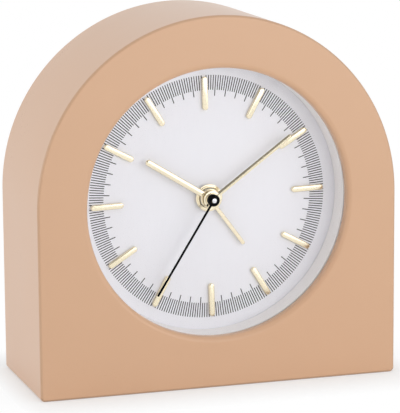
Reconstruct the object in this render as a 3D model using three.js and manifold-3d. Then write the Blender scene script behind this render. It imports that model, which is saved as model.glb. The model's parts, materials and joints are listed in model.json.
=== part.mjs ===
// Arched table alarm clock: a moulded arch case, a round sunk dial behind a flat crystal, four hands on one
// axis and a quartz movement with its gear train. Millimetres, +Z up, the dial faces -Y.

import * as THREE from 'three';
import { mergeVertices } from 'three/addons/utils/BufferGeometryUtils.js';
import Module from 'manifold-3d';

const wasm = await Module();
wasm.setup();

// Facets of a full turn: dial-sized, knob-sized, pipe-sized and pivot-sized rounds, and of the case's arch
const wideSteps = 44;
const midSteps = 24;
const pipeSteps = 12;
const pivotSteps = 8;
const archSteps = 34;

// Clearances, how far joined solids run into each other, and how far a cut runs past a face
const seatGap = 0.1;
const runGap = 0.3;
const pivotGap = 0.2;
const overlap = 0.1;
const overcut = 1;

// Case
const apertureRadius = 36.1;
const faceMargin = 13.9;
const plinthDrop = 0.5;
const dialDrop = 0.4;
const caseDepth = 40;
const sideWall = 2.5;
const frontWall = 2.8;
const edgeRadius = 0.7;
const lipRadius = 1.4;
const cornerRadius = 1.2;
const bossRadius = 3;
const bossSink = 0.5;
const postRadius = 2.4;
const rimWall = 1.2;

// Crystal, ring and dial
const crystalLap = 2.4;
const crystalThickness = 1.4;
const ringWall = 1.3;
const ringFlange = 1;
const dialLap = 3.1;
const dialThickness = 0.5;

// Hour markers; the dial sits turned a little, anticlockwise
const markerCount = 12;
const dialTurn = 1.6;
const markerMargin = 3.2;
const markerLength = 9.1;
const markerWidth = 1.4;
const markerHeight = 0.9;
const markerBevel = 0.3;

// Hands, from the dial up; each tip stops short of the markers' outer ends
const firstHandHeight = 1.1;
const handSpacing = 1.4;
const handThickness = 0.4;
const hubRise = 0.3;
const bushDrop = 0.6;
const crystalClearance = 0.6;
const capRise = 0.4;
const capRadius = 0.65;
const hands = {
  alarm: { place: 0, short: 16.3, width: 1, hub: 3.7, angle: 143.6 },
  hour: { place: 1, short: 11.7, width: 1.7, hub: 2.7, angle: 302 },
  minute: { place: 2, short: 5.1, width: 1.2, hub: 2.4, angle: 54.2 },
  second: { place: 3, short: 3.1, width: 0.6, hub: 1.65, angle: 212.3 },
};

// Arbors and pipes on the centre, each running inside the next
const secondRodRadius = 0.35;
const pipeWall = 0.5;
const arborRadius = 0.4;
const shaftRadius = 1.2;

// Gear train: levels behind the movement plate, numbers of teeth and modules
const plateThickness = 1.8;
const wheelThickness = 0.8;
const levelGap = 0.4;
const levels = { alarm: 0, hour: 1, motion: 2, centre: 3, third: 4, second: 5, fifth: 6 };
const levelCount = 7;
const teeth = {
  rotorPinion: 6, fifthWheel: 36, fifthPinion: 6, secondWheel: 30, secondPinion: 6, thirdWheel: 45,
  thirdPinion: 6, centreWheel: 48, cannonPinion: 8, minuteWheel: 24, minutePinion: 6, hourWheel: 24,
  timePinion: 10, alarmWheel: 24, alarmPinion: 14,
};
const centreModule = 0.34;
const motionModule = 0.62;
const alarmModule = 0.63;
const secondModule = 0.52;
const rotorModule = 0.4;
const toothAddendum = 0.75;
const toothDedendum = 1.25;
const toothRootShare = 0.27;
const toothTipShare = 0.1;

// Directions of the arbors round the dial centre, counter-clockwise from the right as seen from the front
const thirdDirection = 110;
const minuteDirection = 180;
const timeShaftDirection = 200;
const fifthDirection = -90;
const rotorDirection = -40;
const alarmShaftDirection = -17.4;

// Movement tray, motor and circuit board, placed from the dial centre
const trayRoom = 0.5;
const trayWall = 1.5;
const trayCorner = 3;
const magnetRadius = 2.4;
const magnetHeight = 2;
const statorThickness = 0.8;
const statorBar = 2.4;
const statorReach = 17;
const statorPole = 4.2;
const statorHeight = 12.5;
const coilRadius = 2.5;
const bobbinWall = 0.4;
const boardLeft = -25;
const boardWidth = 18.5;
const boardHeight = 12.3;
const boardThickness = 1.2;
const pegRadius = 0.9;
const canRadius = 1;
const canLength = 6;
const contactThickness = 0.25;

// Rear cover, battery, knobs, switch and buzzer
const coverRecess = 4.5;
const coverThickness = 2;
const batteryRadius = 7.25;
const batteryLength = 49.2;
const batteryNubLength = 1.3;
const batteryNubRadius = 2.6;
const wellWall = 1.4;
const wellLift = 0.9;
const wellClearance = 0.35;
const contactRoom = 2.4;
const leafThickness = 0.4;
const leafWidth = 9;
const doorThickness = 1.4;
const doorLedge = 1.2;
const doorPinRadius = 0.35;
const doorPinLength = 0.8;
const knobRadius = 6.2;
const knobFlutes = 14;
const knobFluteDepth = 0.5;
const knobEdge = 0.5;
const knobInset = 0.5;
const switchTravel = 4;
const switchNub = 3.4;
const switchNubRise = 1.8;
const switchBase = 1.2;
const switchX = 22;
const switchY = 14;
const railWall = 1.2;
const buzzerRadius = 12;
const buzzerHeight = 4;
const buzzerY = 24;
const soundSlots = 5;
const soundSlotWidth = 1.2;
const soundSlotSpacing = 3;
const soundSlotShare = 0.7;

// Screws
const screwHeadRadius = 2.2;
const screwHeadHeight = 1.3;
const screwShankRadius = 0.95;
const screwLength = 7;
const screwCrossWidth = 0.7;
const screwCrossShare = 0.7;

// Sizes that follow from those above
const archRadius = apertureRadius + faceMargin;
const archHeight = archRadius + plinthDrop;
const centreHeight = archHeight - dialDrop;
const frontZ = caseDepth / 2;
const backZ = -caseDepth / 2;
const frontInnerZ = frontZ - frontWall;
const innerRadius = archRadius - sideWall;
const crystalRadius = apertureRadius + crystalLap;
const crystalFrontZ = frontInnerZ - seatGap;
const crystalBackZ = crystalFrontZ - crystalThickness;
const markerOuterRadius = apertureRadius - markerMargin;
const handZ = (hand) => firstHandHeight + hand.place * handSpacing;
const capTopZ = handZ(hands.second) + handThickness + capRise;
const dialZ = crystalBackZ - crystalClearance - capTopZ;
const dialRadius = apertureRadius + dialLap;
const plateFrontZ = -dialThickness - seatGap;
const plateRearZ = plateFrontZ - plateThickness;
const levelTop = (level) => plateRearZ - levelGap - level * (wheelThickness + levelGap);
const trayInnerZ = levelTop(levelCount);
const trayRearZ = trayInnerZ - trayWall;
const coverOuterZ = backZ + coverRecess;
const coverInnerZ = coverOuterZ + coverThickness;
const rodBoreRadius = secondRodRadius + runGap;
const cannonRadius = rodBoreRadius + pipeWall;
const hourBoreRadius = cannonRadius + runGap;
const hourPipeRadius = hourBoreRadius + pipeWall;
const alarmBoreRadius = hourPipeRadius + runGap;
const alarmPipeRadius = alarmBoreRadius + pipeWall;
const plateBoreRadius = alarmPipeRadius + runGap;
const postReach = (Math.max(dialRadius, crystalRadius + runGap + rimWall) + innerRadius) / 2;
const postDirections = [90, 210, 330];
const bossDirections = [45, 135];
const pilotRadius = screwShankRadius + pivotGap;
const lastLevelZ = trayInnerZ - trayWall + pivotGap;

// Materials
function finish(color, roughness, metalness) {
  return new THREE.MeshStandardMaterial({ color, roughness, metalness });
}
const lacquer = finish(0xd4aa8b, 0.4, 0);
const clear = finish(0xffffff, 0.05, 0);
clear.transparent = true;
clear.opacity = 0.2;
const ringWhite = finish(0xe6e3e2, 0.35, 0);
const dialSilver = finish(0xe6e4e9, 0.45, 0.2);
const gold = finish(0xe9d3a4, 0.2, 1);
const black = finish(0x0c0c0e, 0.4, 0);
const silver = finish(0xf2f2f2, 0.25, 1);
const steel = finish(0xa9abad, 0.35, 1);
const brass = finish(0xc9a64f, 0.3, 1);
const copper = finish(0xb4653a, 0.35, 1);
const backPlastic = finish(0x2b2a2a, 0.55, 0);
const ivoryPlastic = finish(0xe9e6dc, 0.5, 0);
const whitePlastic = finish(0xf0efec, 0.45, 0);
const boardGreen = finish(0x2f6a45, 0.5, 0);
const cellBlue = finish(0x3a4a63, 0.35, 0.2);

// Solids: joining, cutting and turning
const degrees = THREE.MathUtils.degToRad;

function toSolid(geometry) {
  const bare = geometry.clone();
  bare.deleteAttribute('normal');
  bare.deleteAttribute('uv');
  const merged = mergeVertices(bare, 1e-4);
  const index = merged.index.array;
  const kept = [];
  for (let i = 0; i < index.length; i += 3) {
    const [a, b, c] = [index[i], index[i + 1], index[i + 2]];
    if (a !== b && b !== c && c !== a) kept.push(a, b, c);
  }
  const vertProperties = new Float32Array(merged.attributes.position.array);
  return new wasm.Manifold(new wasm.Mesh({ numProp: 3, vertProperties, triVerts: new Uint32Array(kept) }));
}

function toGeometry(solid) {
  const { vertProperties, triVerts } = solid.getMesh();
  const geometry = new THREE.BufferGeometry();
  geometry.setAttribute('position', new THREE.BufferAttribute(vertProperties, 3));
  geometry.setIndex(new THREE.BufferAttribute(triVerts, 1));
  const flat = geometry.toNonIndexed();
  flat.computeVertexNormals();
  return flat;
}

function join(first, ...rest) {
  return rest.reduce((sum, solid) => sum.add(solid), first);
}

function cut(first, ...rest) {
  return rest.reduce((left, solid) => left.subtract(solid), first);
}

function arc(x, y, radius, from, to, steps) {
  const points = [];
  for (let i = 0; i <= steps; i += 1) {
    const angle = degrees(from + ((to - from) * i) / steps);
    points.push(new THREE.Vector2(x + radius * Math.cos(angle), y + radius * Math.sin(angle)));
  }
  return points;
}

function at(direction, reach) {
  return new THREE.Vector2(reach * Math.cos(degrees(direction)), reach * Math.sin(degrees(direction)));
}

// A flat outline raised from one height to another, with an optional rounded edge at both ends
function slab(points, fromZ, toZ, edge = 0, edgeSteps = 2) {
  const geometry = new THREE.ExtrudeGeometry(new THREE.Shape(points), {
    depth: toZ - fromZ - 2 * edge,
    bevelEnabled: edge > 0,
    bevelSize: edge,
    bevelThickness: edge,
    bevelOffset: -edge,
    bevelSegments: edgeSteps,
  });
  geometry.translate(0, 0, fromZ + edge);
  return toSolid(geometry);
}

// A closed profile of [radius, height] points turned round the local Z axis
function turned(profile, steps = midSteps) {
  const points = profile.map(([radius, height]) => new THREE.Vector2(radius, height));
  if (THREE.ShapeUtils.area(points) < 0) points.reverse();
  const onAxis = points.some((point) => point.x === 0);
  if (!onAxis) points.push(points[0].clone());
  const geometry = new THREE.LatheGeometry(points, steps);
  geometry.rotateX(Math.PI / 2);
  return toSolid(geometry);
}

function rod(radius, fromZ, toZ, steps = pipeSteps) {
  const geometry = new THREE.CylinderGeometry(radius, radius, toZ - fromZ, steps);
  geometry.rotateX(Math.PI / 2);
  geometry.translate(0, 0, (fromZ + toZ) / 2);
  return toSolid(geometry);
}

function tube(boreRadius, radius, fromZ, toZ, steps = pipeSteps) {
  return turned([[boreRadius, fromZ], [radius, fromZ], [radius, toZ], [boreRadius, toZ]], steps);
}

function block(left, right, bottom, top, fromZ, toZ) {
  const geometry = new THREE.BoxGeometry(right - left, top - bottom, toZ - fromZ);
  geometry.translate((left + right) / 2, (bottom + top) / 2, (fromZ + toZ) / 2);
  return toSolid(geometry);
}

function moved(solid, place) {
  return solid.translate([place.x, place.y, 0]);
}

function roundedRectangle(left, right, bottom, top, radius, steps = 3) {
  return [
    ...arc(right - radius, bottom + radius, radius, -90, 0, steps),
    ...arc(right - radius, top - radius, radius, 0, 90, steps),
    ...arc(left + radius, top - radius, radius, 90, 180, steps),
    ...arc(left + radius, bottom + radius, radius, 180, 270, steps),
  ];
}

function archOutline(radius, bottom, corner) {
  return [
    ...arc(radius - corner, bottom + corner, corner, -90, 0, 2),
    ...arc(0, archHeight, radius, 0, 180, archSteps),
    ...arc(corner - radius, bottom + corner, corner, 180, 270, 2),
  ];
}

// A bar with round ends from one reach to another along a direction from the centre
function stadium(fromReach, toReach, width, steps = 4) {
  return [
    ...arc(0, toReach - width / 2, width / 2, 0, 180, steps),
    ...arc(0, fromReach + width / 2, width / 2, 180, 360, steps),
  ];
}

// Gears: straight-flanked teeth on a root circle
function tipRadius(count, module) {
  return (count / 2 + toothAddendum) * module;
}

function gear(count, module, phase, level) {
  const pitch = 360 / count;
  const root = (count / 2 - toothDedendum) * module;
  const tip = tipRadius(count, module);
  const outline = [];
  for (let i = 0; i < count; i += 1) {
    const middle = phase + i * pitch;
    outline.push(at(middle - toothRootShare * pitch, root), at(middle - toothTipShare * pitch, tip));
    outline.push(at(middle + toothTipShare * pitch, tip), at(middle + toothRootShare * pitch, root));
  }
  return slab(outline, levelTop(level) - wheelThickness, levelTop(level));
}

// The phase that puts a gap of the second gear on the tooth of the first, along the line between them
function meshPhase(phase, count, otherCount, direction) {
  return direction + 180 - ((phase - direction) * count) / otherCount + 180 / otherCount;
}

function distance(count, otherCount, module) {
  return ((count + otherCount) * module) / 2;
}

// Scene graph: the clock's front turned to -Y, and a group on the dial's centre with z up from the dial
const clock = new THREE.Group();
const upright = new THREE.Group();
const face = new THREE.Group();
upright.rotation.x = Math.PI / 2;
face.position.set(0, centreHeight, dialZ);
clock.add(upright);
upright.add(face);

function piece(name, solid, material, parent, x = 0, y = 0, z = 0) {
  const mesh = new THREE.Mesh(toGeometry(solid), material);
  mesh.name = name;
  mesh.position.set(x, y, z);
  parent.add(mesh);
  return mesh;
}

// Places of the arbors on the face
const thirdModule = (centreModule * (teeth.thirdPinion + teeth.centreWheel))
  / (teeth.secondPinion + teeth.thirdWheel);
const hourModule = (motionModule * (teeth.cannonPinion + teeth.minuteWheel))
  / (teeth.minutePinion + teeth.hourWheel);
const thirdPlace = at(thirdDirection, distance(teeth.thirdPinion, teeth.centreWheel, centreModule));
const minutePlace = at(minuteDirection, distance(teeth.cannonPinion, teeth.minuteWheel, motionModule));
const timeReach = distance(teeth.minuteWheel, teeth.timePinion, motionModule);
const timePlace = at(timeShaftDirection, timeReach).add(minutePlace);
const fifthPlace = at(fifthDirection, distance(teeth.fifthPinion, teeth.secondWheel, secondModule));
const rotorReach = distance(teeth.rotorPinion, teeth.fifthWheel, rotorModule);
const rotorPlace = at(rotorDirection, rotorReach).add(fifthPlace);
const alarmPlace = at(alarmShaftDirection, distance(teeth.alarmWheel, teeth.alarmPinion, alarmModule));

// The tray goes round the motor on the right, the board on the left and the third wheel at the top
const coreX = statorReach - statorBar / 2;
const statorBottom = -statorHeight / 2;
const trayLeft = boardLeft - trayRoom - trayWall;
const trayRight = rotorPlace.x + coreX + coilRadius + trayRoom + trayWall;
const trayBottom = rotorPlace.y + statorBottom - trayRoom - trayWall;
const trayTop = thirdPlace.y + tipRadius(teeth.thirdWheel, thirdModule) + trayRoom + trayWall;
const boardRight = boardLeft + boardWidth;
const boardBottom = trayBottom + trayWall + trayRoom;
const boardTop = boardBottom + boardHeight;
const pegPlaces = [
  new THREE.Vector2(boardLeft + 3 * pegRadius, boardTop - 3 * pegRadius),
  new THREE.Vector2(boardRight - 3 * pegRadius, boardTop - 3 * pegRadius),
];
const boardFrontZ = levelTop(levels.motion);

// Case moulding, in two nodes: the front wall with its rim and posts, and the band with its screw bosses
const bossReach = innerRadius - bossRadius + bossSink;
const bossBottom = sideWall + bossRadius - bossSink;
const bossPlaces = [
  ...bossDirections.map((direction) => at(direction, bossReach).add(new THREE.Vector2(0, archHeight))),
  new THREE.Vector2(bossReach, bossBottom),
  new THREE.Vector2(-bossReach, bossBottom),
];
const postPlaces = postDirections.map((direction) => at(direction, postReach));
const postRearZ = dialZ + plateFrontZ + seatGap;
const bandFrontZ = frontInnerZ - seatGap;

function caseBlank(fromZ, toZ) {
  const blank = slab(archOutline(archRadius, 0, cornerRadius), backZ, frontZ, edgeRadius);
  const reach = archRadius + overcut;
  return blank.intersect(block(-reach, reach, -overcut, archHeight + reach, fromZ, toZ));
}

function caseFront() {
  const sight = turned([
    [0, frontInnerZ - overcut], [apertureRadius, frontInnerZ - overcut], [apertureRadius, frontZ - lipRadius],
    [apertureRadius + overcut + lipRadius, frontZ + overcut], [0, frontZ + overcut],
  ], wideSteps).translate([0, centreHeight, 0]);
  const rimRadius = crystalRadius + runGap;
  const rim = tube(rimRadius, rimRadius + rimWall, crystalBackZ, frontInnerZ + overlap, wideSteps);
  let front = cut(caseBlank(frontInnerZ, frontZ + overcut), sight).add(rim.translate([0, centreHeight, 0]));
  for (const place of postPlaces) {
    const seat = place.clone().add(new THREE.Vector2(0, centreHeight));
    const pilot = rod(pilotRadius, postRearZ - overcut, postRearZ + screwLength, pivotSteps);
    front = front.add(moved(rod(postRadius, postRearZ, frontInnerZ + overlap), seat));
    front = front.subtract(moved(pilot, seat));
  }
  return front;
}
piece('case_front', caseFront(), lacquer, upright);

function caseBand() {
  const cavity = slab(archOutline(innerRadius, sideWall, cornerRadius), backZ - overcut, frontZ);
  const bossRearZ = coverInnerZ + seatGap;
  let band = cut(caseBlank(backZ - overcut, bandFrontZ), cavity);
  for (const place of bossPlaces) {
    const pilot = rod(pilotRadius, bossRearZ - overcut, bossRearZ + screwLength, pivotSteps);
    band = band.add(moved(rod(bossRadius, bossRearZ, bandFrontZ), place));
    band = band.subtract(moved(pilot, place));
  }
  return band;
}
piece('case_band', caseBand(), lacquer, upright);

// Crystal, ring and dial
piece('crystal', rod(crystalRadius, crystalBackZ, crystalFrontZ, wideSteps), clear, upright, 0, centreHeight);

function dialRing() {
  const top = crystalBackZ - dialZ - seatGap;
  const outer = apertureRadius + ringWall;
  return turned([
    [apertureRadius, seatGap], [outer, seatGap], [outer, top - ringFlange], [crystalRadius, top - ringFlange],
    [crystalRadius, top], [apertureRadius, top],
  ], wideSteps);
}
piece('dial_ring', dialRing(), ringWhite, face);
const dialDisc = rod(dialRadius, -dialThickness, 0, wideSteps);
const dialHole = rod(plateBoreRadius + runGap, -2 * dialThickness, dialThickness);
piece('dial_plate', cut(dialDisc, dialHole), dialSilver, face);

for (let hour = 1; hour <= markerCount; hour += 1) {
  const outline = stadium(markerOuterRadius - markerLength, markerOuterRadius, markerWidth);
  const marker = slab(outline, 0, markerHeight + markerBevel, markerBevel, 1);
  const foot = block(-markerWidth, markerWidth, 0, markerOuterRadius, -overcut, markerBevel);
  const seated = cut(marker, foot).translate([0, 0, seatGap - markerBevel]);
  const mesh = piece(`hour_marker_${String(hour).padStart(2, '0')}`, seated, gold, face);
  mesh.rotation.z = degrees(dialTurn - (360 * hour) / markerCount);
}

// Hands: a ridged blade with a round tip on a hub with a short bush
function handSolid(hand, boreRadius) {
  const { width, hub } = hand;
  const length = markerOuterRadius - hand.short;
  const z = handZ(hand);
  const section = new THREE.Shape([
    new THREE.Vector2(-width / 2, 0), new THREE.Vector2(width / 2, 0),
    new THREE.Vector2(width / 2, handThickness / 3), new THREE.Vector2(0, handThickness),
    new THREE.Vector2(-width / 2, handThickness / 3),
  ]);
  const blade = new THREE.ExtrudeGeometry(section, { depth: length, bevelEnabled: false });
  blade.rotateX(Math.PI / 2).rotateZ(Math.PI).translate(0, 0, z);
  const tip = slab(stadium(-width, length, width), z - overcut, z + overcut);
  const disc = rod(hub, z, z + hubRise, midSteps);
  const bush = rod(boreRadius + pipeWall, z - bushDrop, z + hubRise);
  const bore = rod(boreRadius, z - bushDrop - overcut, z + overcut);
  return cut(join(toSolid(blade).intersect(tip), disc, bush), bore);
}

function addHand(name, hand, boreRadius, material) {
  const mesh = piece(name, handSolid(hand, boreRadius), material, face);
  mesh.rotation.z = -degrees(hand.angle);
}
addHand('alarm_hand', hands.alarm, alarmPipeRadius + seatGap, gold);
addHand('hour_hand', hands.hour, hourPipeRadius + seatGap, gold);
addHand('minute_hand', hands.minute, cannonRadius + seatGap, gold);
addHand('second_hand', hands.second, capRadius + seatGap, black);
const capBaseZ = handZ(hands.second) - bushDrop;
const capBoreRadius = secondRodRadius + seatGap;
const cap = turned([
  [0, capTopZ - seatGap], [capBoreRadius, capTopZ - seatGap], [capBoreRadius, capBaseZ],
  [capRadius, capBaseZ], [capRadius, capTopZ], [0, capTopZ],
], pipeSteps);
piece('second_hand_cap', cap, silver, face);

// Movement plate: a disc behind the dial with three ears on the posts of the case
function movementPlate() {
  const through = (radius, steps) => rod(radius, plateRearZ - overcut, plateFrontZ + overcut, steps);
  let plate = rod(dialRadius, plateRearZ, plateFrontZ, wideSteps);
  for (const direction of postDirections) {
    const outline = stadium(dialRadius - 3 * postRadius, postReach + postRadius, 2 * postRadius);
    plate = plate.add(slab(outline, plateRearZ, plateFrontZ).rotate([0, 0, direction - 90]));
  }
  for (const place of pegPlaces) {
    plate = plate.add(moved(rod(pegRadius, boardFrontZ - boardThickness, plateRearZ + overlap), place));
  }
  const arbors = [thirdPlace, minutePlace, fifthPlace, rotorPlace];
  return cut(
    plate,
    through(plateBoreRadius),
    ...arbors.map((place) => moved(through(arborRadius + pivotGap, pivotSteps), place)),
    ...[timePlace, alarmPlace].map((place) => moved(through(shaftRadius + pivotGap), place)),
    ...postPlaces.map((place) => moved(through(pilotRadius, pivotSteps), place)),
  );
}
piece('movement_plate', movementPlate(), ivoryPlastic, face);

// Movement tray: the housing over the train, open toward the plate
function movementTray() {
  const through = (radius, steps) => rod(radius, trayRearZ - overcut, trayInnerZ + overcut, steps);
  const outline = roundedRectangle(trayLeft, trayRight, trayBottom, trayTop, trayCorner);
  const inside = roundedRectangle(
    trayLeft + trayWall, trayRight - trayWall, trayBottom + trayWall, trayTop - trayWall,
    trayCorner - trayWall);
  const room = slab(inside, trayInnerZ, plateRearZ + overcut);
  const arbors = [new THREE.Vector2(0, 0), thirdPlace, minutePlace, fifthPlace, rotorPlace];
  return cut(
    slab(outline, trayRearZ, plateRearZ - seatGap),
    room,
    ...arbors.map((place) => moved(through(arborRadius + pivotGap, pivotSteps), place)),
    ...[timePlace, alarmPlace].map((place) => moved(through(shaftRadius + pivotGap), place)),
  );
}
piece('movement_tray', movementTray(), ivoryPlastic, face);

// Wheels on the centre axis
const halfTurn = 180;
const secondWheelPhase = meshPhase(0, teeth.fifthPinion, teeth.secondWheel, fifthDirection + halfTurn);
const centreWheelPhase = meshPhase(0, teeth.thirdPinion, teeth.centreWheel, thirdDirection + halfTurn);
const hourWheelPhase = meshPhase(0, teeth.minutePinion, teeth.hourWheel, minuteDirection + halfTurn);
const alarmWheelPhase = meshPhase(0, teeth.alarmPinion, teeth.alarmWheel, alarmShaftDirection + halfTurn);

piece('second_wheel', join(
  rod(secondRodRadius, lastLevelZ, capTopZ - 2 * seatGap, pivotSteps),
  gear(teeth.secondPinion, thirdModule, 0, levels.third),
  rod(arborRadius, levelTop(levels.second) - seatGap, levelTop(levels.third) - seatGap),
  gear(teeth.secondWheel, secondModule, secondWheelPhase, levels.second),
), brass, face);

const pipeTipZ = (hand) => handZ(hand) + handThickness + hubRise;

function pipeWheel(boreRadius, radius, tipZ, parts, rearLevel) {
  const rearZ = levelTop(rearLevel) - wheelThickness;
  return cut(join(rod(radius, rearZ, tipZ), ...parts), rod(boreRadius, rearZ - overcut, tipZ + overcut));
}
piece('centre_wheel', pipeWheel(rodBoreRadius, cannonRadius, pipeTipZ(hands.minute), [
  gear(teeth.cannonPinion, motionModule, 0, levels.motion),
  gear(teeth.centreWheel, centreModule, centreWheelPhase, levels.centre),
], levels.centre), brass, face);
piece('hour_wheel', pipeWheel(hourBoreRadius, hourPipeRadius, pipeTipZ(hands.hour), [
  gear(teeth.hourWheel, hourModule, hourWheelPhase, levels.hour),
], levels.hour), whitePlastic, face);
piece('alarm_wheel', pipeWheel(alarmBoreRadius, alarmPipeRadius, pipeTipZ(hands.alarm), [
  gear(teeth.alarmWheel, alarmModule, alarmWheelPhase, levels.alarm),
], levels.alarm), whitePlastic, face);

// Wheels on their own arbors
const arborFrontZ = plateFrontZ - pivotGap;

function arborPiece(name, place, parts, material, radius = arborRadius, rearZ = lastLevelZ) {
  piece(name, join(rod(radius, rearZ, arborFrontZ, pivotSteps), ...parts), material, face, place.x, place.y);
}
arborPiece('third_wheel', thirdPlace, [
  gear(teeth.thirdWheel, thirdModule,
    meshPhase(0, teeth.secondPinion, teeth.thirdWheel, thirdDirection), levels.third),
  gear(teeth.thirdPinion, centreModule, 0, levels.centre),
], brass);
const minuteWheelPhase = meshPhase(0, teeth.cannonPinion, teeth.minuteWheel, minuteDirection);
arborPiece('minute_wheel', minutePlace, [
  gear(teeth.minuteWheel, motionModule, minuteWheelPhase, levels.motion),
  gear(teeth.minutePinion, hourModule, 0, levels.hour),
  rod(2 * arborRadius, levelTop(levels.motion), levelTop(levels.hour) - wheelThickness),
], whitePlastic);
arborPiece('fifth_wheel', fifthPlace, [
  gear(teeth.fifthWheel, rotorModule,
    meshPhase(0, teeth.rotorPinion, teeth.fifthWheel, rotorDirection + halfTurn), levels.fifth),
  gear(teeth.fifthPinion, secondModule, 0, levels.second),
], whitePlastic);

// Setting shafts: a pinion in the train, a shaft through the rear cover and a fluted knob behind it
const knobFrontZ = coverOuterZ - runGap - dialZ;
const knobRearZ = backZ + knobInset - dialZ;
const shaftRearZ = (knobFrontZ + knobRearZ) / 2;

function knob() {
  const outline = [];
  for (let i = 0; i < 2 * knobFlutes; i += 1) {
    outline.push(at((180 * i) / knobFlutes, i % 2 ? knobRadius - knobFluteDepth : knobRadius));
  }
  const body = slab(outline, knobRearZ, knobFrontZ, knobEdge, 1);
  return cut(body, rod(shaftRadius + seatGap, shaftRearZ - seatGap, knobFrontZ + overcut));
}

function settingShaft(name, knobName, place, pinion) {
  arborPiece(name, place, [pinion], whitePlastic, shaftRadius, shaftRearZ);
  piece(knobName, knob(), backPlastic, face, place.x, place.y);
}
const timePinionPhase = meshPhase(minuteWheelPhase, teeth.minuteWheel, teeth.timePinion, timeShaftDirection);
settingShaft('time_setting_pinion', 'time_knob', timePlace,
  gear(teeth.timePinion, motionModule, timePinionPhase, levels.motion));
settingShaft('alarm_setting_pinion', 'alarm_knob', alarmPlace,
  gear(teeth.alarmPinion, alarmModule, 0, levels.alarm));

// Stepping motor: rotor, stator with its core bar, bobbin and winding
const statorTopZ = levelTop(levels.third) - levelGap;
const statorRearZ = statorTopZ - statorThickness;
const magnetTopZ = (statorTopZ + statorRearZ + magnetHeight) / 2;
arborPiece('rotor', rotorPlace, [
  gear(teeth.rotorPinion, rotorModule, 0, levels.fifth),
  rod(magnetRadius, magnetTopZ - magnetHeight, magnetTopZ),
], steel);

function stator() {
  const plate = block(-statorPole, statorReach, statorBottom, -statorBottom, statorRearZ, statorTopZ);
  const opening = (left, right) => block(
    left, right, statorBottom + statorBar, -statorBottom - statorBar,
    statorRearZ - overcut, statorTopZ + overcut);
  const poleHole = rod(magnetRadius + runGap, statorRearZ - overcut, statorTopZ + overcut);
  return cut(
    plate, poleHole, opening(statorPole, coreX - statorThickness / 2),
    opening(coreX + statorThickness / 2, statorReach + overcut));
}
piece('stator', stator(), steel, face, rotorPlace.x, rotorPlace.y);

const coilHalf = statorHeight / 2 - statorBar - runGap;
const bobbinBore = statorThickness * Math.SQRT1_2 + pivotGap;
const bobbinRadius = bobbinBore + bobbinWall;
const bobbin = turned([
  [bobbinBore, -coilHalf], [coilRadius, -coilHalf], [coilRadius, bobbinWall * 2 - coilHalf],
  [bobbinRadius, bobbinWall * 2 - coilHalf], [bobbinRadius, coilHalf - bobbinWall * 2],
  [coilRadius, coilHalf - bobbinWall * 2], [coilRadius, coilHalf], [bobbinBore, coilHalf],
], pivotSteps);
const windingHalf = coilHalf - bobbinWall * 2 - seatGap;
const winding = tube(bobbinRadius + seatGap, coilRadius - seatGap, -windingHalf, windingHalf, pivotSteps);
const coilZ = (statorTopZ + statorRearZ) / 2;
const coil = new THREE.Group();
coil.position.set(rotorPlace.x + coreX, rotorPlace.y, coilZ);
coil.rotation.x = Math.PI / 2;
face.add(coil);
piece('coil_bobbin', bobbin, whitePlastic, coil);
piece('coil_winding', winding, copper, coil);

// Circuit board on two pegs of the plate, the quartz can on it and the alarm contact under it
function circuitBoard() {
  const board = slab(
    roundedRectangle(boardLeft, boardRight, boardBottom, boardTop, pegRadius, 2),
    boardFrontZ - boardThickness, boardFrontZ);
  return cut(board, ...pegPlaces.map((place) => moved(
    rod(pegRadius + seatGap, boardFrontZ - boardThickness - overcut, boardFrontZ + overcut), place)));
}
piece('circuit_board', circuitBoard(), boardGreen, face);
const canZ = boardFrontZ - boardThickness - canRadius - seatGap;
const canMesh = piece(
  'quartz_can', rod(canRadius, -canLength / 2, canLength / 2), silver, face,
  (boardLeft + boardRight) / 2, boardBottom + 3 * canRadius, canZ);
canMesh.rotation.y = Math.PI / 2;

function alarmContact() {
  const peg = pegPlaces[1];
  const leaf = slab(stadium(-2 * pegRadius, 3 * pegRadius + runGap, 2 * pegRadius), 0, contactThickness);
  const eye = rod(2 * pegRadius, 0, contactThickness);
  const strip = cut(join(leaf, eye), rod(pegRadius + seatGap, -overcut, overcut));
  return moved(strip.translate([0, 0, plateRearZ - seatGap - contactThickness]), peg);
}
piece('alarm_contact', alarmContact(), brass, face);

// Rear cover with its screw holes, shaft holes, switch slot, switch rails and sound slots
const wellBottom = sideWall + wellLift + wellWall;
const wellTop = wellBottom + 2 * (batteryRadius + wellClearance);
const wellHalf = (batteryLength + batteryNubLength) / 2 + contactRoom;
const batteryY = (wellBottom + wellTop) / 2;
const batteryZ = coverOuterZ + doorThickness + runGap + batteryRadius;
const wellFrontZ = batteryZ + batteryRadius + wellClearance;
const doorAxisZ = coverOuterZ + doorThickness / 2;
const doorBottom = wellBottom - doorLedge + runGap;
const doorTop = wellTop + doorLedge - runGap;
const doorHalf = wellHalf + doorLedge - runGap;
const doorAxisY = doorBottom + doorThickness / 2;
const switchPlace = new THREE.Vector2(switchX, centreHeight + switchY);
const railTopZ = coverInnerZ + switchBase + runGap;
const nubHalf = switchNub / 2;
const nubRoom = nubHalf + runGap;
const slotHalf = switchTravel / 2 + nubRoom;
const baseHalf = slotHalf + switchTravel / 2 + runGap;
const baseReach = nubRoom + railWall;
const railHalf = baseHalf + switchTravel / 2;

// A bar along the switch's way, on one side of it
function switchRail(side, near, far, fromZ, toZ) {
  const [bottom, top] = side > 0 ? [near, far] : [-far, -near];
  return moved(block(-railHalf, railHalf, bottom, top, fromZ, toZ), switchPlace);
}

function soundSlot(offset) {
  const half = Math.sqrt(buzzerRadius ** 2 - offset ** 2) * soundSlotShare;
  const place = new THREE.Vector2(0, centreHeight + buzzerY + offset);
  const slot = block(
    -half, half, -soundSlotWidth / 2, soundSlotWidth / 2, coverOuterZ - overcut, coverInnerZ + overcut);
  return moved(slot, place);
}

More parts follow.
